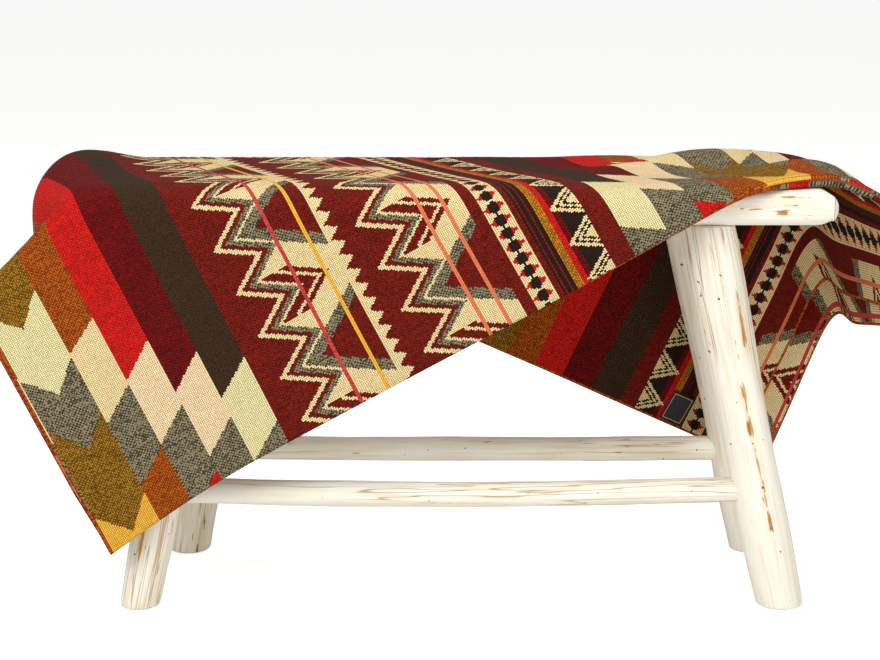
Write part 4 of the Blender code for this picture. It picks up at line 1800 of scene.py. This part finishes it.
@dataclass(frozen=True)
class Blanket:
    """The knitted blanket, folded once along its middle line, with its hems and its bare label.

    Attributes:
        drape: the middle surface that it lies on.
        wool: its finish.
        badge: the label's finish and size.
        cells_long: cells along the fold.
        cells_layer: cells across a layer.
        cells_fold: cells round the fold.
        upper_lean: how far the outer layer's pattern leans near its first hem.
        upper_lean_from: where along the fold that lean starts to fade.
        upper_lean_span: over what length it fades.
        edging: the part of the fold that shows a thin hem.
        edging_inset: how much narrower that hem is.
        lower_lean: how far the inner layer's pattern leans.
        lower_shift: how far it is shifted at the far end.
        lower_shift_from: where along the fold the shift starts.
        lower_shift_span: over what length it grows.
        inside_lean: how far the pattern on the cloth's inner side leans.
        inside_shift: how far that is shifted.
        label_at: the label's place, along the fold and from the back hem.
        label_cells: its cells across and down.
        label_thick: its thickness.
        label_clear: gap between it and the cloth.
    """

    drape: Drape
    wool: Wool = Wool()
    badge: Badge = Badge()
    cells_long: int = 200
    cells_layer: int = 90
    cells_fold: int = 8
    upper_lean: float = 0.075
    upper_lean_from: float = 0.20
    upper_lean_span: float = 0.45
    edging: Span = (0.62, 0.87)
    edging_inset: float = 0.0004
    lower_lean: float = 0.070
    lower_shift: float = 0.085
    lower_shift_from: float = 0.05
    lower_shift_span: float = 0.5
    inside_lean: float = 0.130
    inside_shift: float = 0.2535
    label_at: Span = (1.113, 0.004)
    label_cells: tuple[int, int] = (12, 15)
    label_thick: float = 0.0009
    label_clear: float = 0.0009

    def build(self) -> list[bpy.types.Object]:
        """Builds the cloth and what is on it.

        Returns:
            The cloth and its label.
        """
        cloth = self._cloth()
        label = self._label()
        return [cloth, label]

    def _across(self) -> np.ndarray:
        """Where the grid lines across the open cloth lie: lower hem, lower layer, edge fold, upper layer.

        Returns:
            Distance from the fold, negative on the lower layer.
        """
        z = self.drape.sizes
        half_turn = z.half_gap * math.pi / 2
        layer = np.linspace(half_turn, z.width + half_turn - z.half_gap, self.cells_layer + 1)
        turn = np.linspace(-half_turn, half_turn, self.cells_fold + 1)[1:-1]
        return np.concatenate([-layer[::-1], turn, layer])

    def _bow(self, u: np.ndarray) -> np.ndarray:
        """How far the edge fold bows up the cloth.

        Args:
            u: place along the edge fold.

        Returns:
            The distance at each place.
        """
        z = self.drape.sizes
        rise = np.sin(math.pi / 2 * np.clip(u / z.bow_rise, 0.0, 1.0))
        return z.bow * rise - (z.bow - z.bow_left) * smooth_step((u - z.bow_rise) / z.bow_fall)

    def _puff(self, u: np.ndarray, v: np.ndarray) -> np.ndarray:
        """How far the fold stands open where it passes the seat's right end."""
        z = self.drape.sizes
        return z.puff * np.exp(-(((u - z.puff_at) / z.puff_length) ** 2) - (v / z.puff_reach) ** 2)

    def _places(self, w: np.ndarray) -> tuple[np.ndarray, np.ndarray, np.ndarray, np.ndarray]:
        """Where the cloth's points lie on the middle surface.

        Args:
            w: distance across the open cloth at each grid line.

        Returns:
            Along the fold, from the fold, height off the middle surface, and distance from the nearest hem.
        """
        z = self.drape.sizes
        half_turn = z.half_gap * math.pi / 2
        turn = np.clip(w / z.half_gap, -math.pi / 2, math.pi / 2)
        v = z.half_gap * (1 - np.cos(turn)) + np.maximum(np.abs(w) - half_turn, 0.0)
        start = z.start_lean * v - z.lower_start_out * smooth_step(-w / z.lower_start_fade)
        end = z.end + np.where(w > 0, z.upper_end_lean * v, z.lower_end_lean * v - z.lower_end_short)
        share = np.linspace(0.0, 1.0, self.cells_long + 1)
        u = start + share[:, None] * (end - start)
        hem = np.minimum(np.minimum(u - start, end - u), (z.width - v)[None, :] + 0 * u)
        v = v + self._bow(u) * np.maximum(1 - v / z.bow_reach, 0.0)
        puff = self._puff(u, v)
        height = puff + (z.half_gap + puff) * np.sin(turn)[None, :]
        edging = (u > self.edging[0]) & (u < self.edging[1])
        hem = np.where(edging, np.minimum(hem, np.abs(w)[None, :] + self.edging_inset), hem)
        return u, v, height, hem

    def _chart(self, w: np.ndarray, u: np.ndarray, v: np.ndarray) -> np.ndarray:
        """Where each point lies in the knitted pattern.

        Args:
            w: distance across the open cloth at each grid line.
            u: along the fold.
            v: from the fold.

        Returns:
            Distance along the pattern and from its middle line.
        """
        upper = self.upper_lean * (1 - smooth_step((u - self.upper_lean_from) / self.upper_lean_span))
        shift = self.lower_shift * smooth_step((u - self.lower_shift_from) / self.lower_shift_span)
        return np.stack([u - np.where(w[None, :] > 0, upper * v, self.lower_lean * v - shift), v], axis=-1)

    def _grid(self, points: np.ndarray, charts: dict[str, np.ndarray], hem: np.ndarray) -> bmesh.types.BMesh:
        """A sheet of four-sided faces with its charts and hem distance.

        Args:
            points: a grid of points.
            charts: for each UV map, where each point lies in the pattern.
            hem: distance of each from the nearest hem.

        Returns:
            The mesh.
        """
        rows, columns = points.shape[0] - 1, points.shape[1] - 1
        bm = bmesh.new()
        bmesh.ops.create_grid(bm, x_segments=rows, y_segments=columns, size=0.5)
        layers = {title: bm.loops.layers.uv.new(title) for title in charts}
        hem_layer = bm.verts.layers.float.new("hem")
        where = {}
        for vert in bm.verts:
            i, j = round((vert.co.x + 0.5) * rows), round((vert.co.y + 0.5) * columns)
            where[vert] = (i, j)
            vert[hem_layer] = hem[i, j]
        for vert, (i, j) in where.items():
            vert.co = points[i, j]
        for face in bm.faces:
            for loop in face.loops:
                for title, layer in layers.items():
                    loop[layer].uv = charts[title][where[loop.vert]]
        return bm

    def _finish(self, piece: bpy.types.Object, thick: float, node: str) -> bpy.types.Modifier:
        """Gives a sheet its thickness, half to each side, and hides the CAD node that it replaces.

        Args:
            piece: the sheet.
            thick: its thickness.
            node: the CAD node that it replaces.

        Returns:
            The modifier that thickens it.
        """
        wall = piece.modifiers.new("thickness", "SOLIDIFY")
        wall.thickness = thick
        wall.offset = 0.0
        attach(piece, BODY)
        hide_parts(node)
        return wall

    def _cloth(self) -> bpy.types.Object:
        """The folded cloth.

        Returns:
            The piece, with one material outside and one inside.
        """
        w = self._across()
        u, v, height, hem = self._places(w)
        points = self.drape.points(u, v, height)
        inside = np.stack([u - self.inside_lean * v + self.inside_shift, v], axis=-1)
        grid = self._grid(points, {"cloth": self._chart(w, u, v), "inside": inside}, hem)
        knit = self.wool.group()
        cloth = add_piece("knitted_blanket", grid, self.wool.material("knitted_alpaca", "cloth", knit))
        cloth.data.materials.append(self.wool.material("knitted_alpaca_inside", "inside", knit))
        self._finish(cloth, self.drape.sizes.thick, "blanket").material_offset = 1
        return cloth

    def _label(self) -> bpy.types.Object:
        """The small woven label on the inner layer beside its back hem, left bare.

        Returns:
            The piece.
        """
        z = self.drape.sizes
        along, away = (np.linspace(0.0, size, count + 1) for size, count in zip(self.badge.size, self.label_cells))
        x, y = np.meshgrid(along, away, indexing="ij")
        u = x + self.label_at[0]
        v = z.width - self.label_at[1] - y
        lift = -(z.half_gap + z.thick / 2 + self.label_clear + self.label_thick / 2)
        points = self.drape.points(u, v, np.full_like(u, lift))
        bm = self._grid(points, {"cloth": np.stack([x, y], axis=-1)}, np.full_like(u, 1.0))
        label = add_piece("woven_label", bm, self.badge.material())
        self._finish(label, self.label_thick, "label")
        return label


@dataclass(frozen=True)
class Lamp:
    """A soft light: its name, where it hangs, how wide it is and its power in watts."""

    name: str
    at: Triple
    size: float
    power: float


LAMPS = (
    Lamp("key", (-1.3, -1.9, 2.4), 1.8, 74.0),
    Lamp("fill", (1.9, -2.2, 1.5), 2.2, 34.0),
    Lamp("top", (0.2, 0.4, 3.0), 2.6, 28.0),
)


@dataclass(frozen=True)
class Studio:
    """The pale floor, the soft light and the camera.

    Attributes:
        camera_at: where the camera stands, from the bench's own centre.
        pitch: how far it looks down.
        lens: its focal length in millimetres.
        aim: what the lamps look at.
        floor_half: half the floor's width.
        floor_drop: how far it lies under the feet.
        floor_roughness: of the floor.
        floor_lift: how much brighter the camera sees the floor.
        sky: strength of the light from all round.
        sky_colour: its colour.
    """

    camera_at: Triple = (-0.020, -2.049, 0.7755)
    pitch: float = math.radians(12.72)
    lens: float = 70.69
    aim: Triple = (0.0, 0.0, 0.3)
    floor_half: float = 30.0
    floor_drop: float = 0.0005
    floor_roughness: float = 0.7
    floor_lift: float = 0.62
    sky: float = 0.36
    sky_colour: Rgba = (1.0, 0.99, 0.98, 1.0)

    def build(self) -> None:
        """Builds all of it."""
        self._camera()
        self._floor()
        for lamp in LAMPS:
            self._light(lamp)
        self._sky()
        bpy.context.scene.view_settings.view_transform = "Standard"

    def _sky(self) -> None:
        """Lights everything softly from all round, with a white that only the camera sees behind it."""
        world = bpy.data.worlds.new("studio")
        world.use_nodes = True
        tree = world.node_tree
        back = tree.nodes["Background"]
        back.inputs["Color"].default_value = self.sky_colour
        tree.links.new((self._seen(tree) * (1.0 - self.sky) + self.sky).socket, back.inputs["Strength"])
        bpy.context.scene.world = world

    def _seen(self, tree: bpy.types.NodeTree) -> Wire:
        """1 for what the camera sees directly."""
        return Wire(tree, tree.nodes.new("ShaderNodeLightPath").outputs["Is Camera Ray"])

    def _camera(self) -> None:
        """Sets the camera where the photograph was taken from."""
        data = bpy.data.cameras.new("camera")
        data.lens = self.lens
        data.sensor_width = 36.0
        camera = bpy.data.objects.new("camera", data)
        camera.location = Vector(self.camera_at) + BENCH
        camera.rotation_euler = Euler((math.pi / 2 - self.pitch, 0.0, 0.0))
        bpy.context.scene.collection.objects.link(camera)
        bpy.context.scene.camera = camera

    def _light(self, lamp: Lamp) -> None:
        """Adds a soft light that looks at the bench.

        Args:
            lamp: which light.
        """
        data = bpy.data.lights.new(lamp.name, "AREA")
        data.size = lamp.size
        data.energy = lamp.power
        made = bpy.data.objects.new(lamp.name, data)
        made.location = lamp.at
        made.rotation_euler = (Vector(self.aim) - Vector(lamp.at)).to_track_quat("-Z", "Y").to_euler()
        bpy.context.scene.collection.objects.link(made)

    def _floor(self) -> None:
        """Lays the pale floor."""
        bm = bmesh.new()
        bmesh.ops.create_grid(bm, x_segments=4, y_segments=4, size=self.floor_half)
        finish, tree, shader = new_material("pale_floor")
        place = tree.nodes.new("ShaderNodeTexCoord")
        tone = noise_of(tree, place.outputs["Object"], (3.0, 3.0, 3.0))
        colour = mixed(tree, tone, linear((0.93, 0.93, 0.93)), linear((0.95, 0.95, 0.94)))
        tree.links.new(colour, shader.inputs["Base Color"])
        shader.inputs["Roughness"].default_value = self.floor_roughness
        shader.inputs["Emission Color"].default_value = (1.0, 1.0, 1.0, 1.0)
        tree.links.new((self._seen(tree) * self.floor_lift).socket, shader.inputs["Emission Strength"])
        add_piece("floor", bm, finish, Vector((0.0, 0.0, -self.floor_drop)))


def main() -> None:
    """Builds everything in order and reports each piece."""
    logging.basicConfig(level=logging.INFO)
    Studio().build()
    bench = Bench()
    drape = Drape(DrapeSizes(), bench.seat, cells_long=200, cells_wide=92)
    for part in (bench, Blanket(drape)):
        for piece in part.build():
            report(piece)
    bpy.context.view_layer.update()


if __name__ == "__main__":
    main()
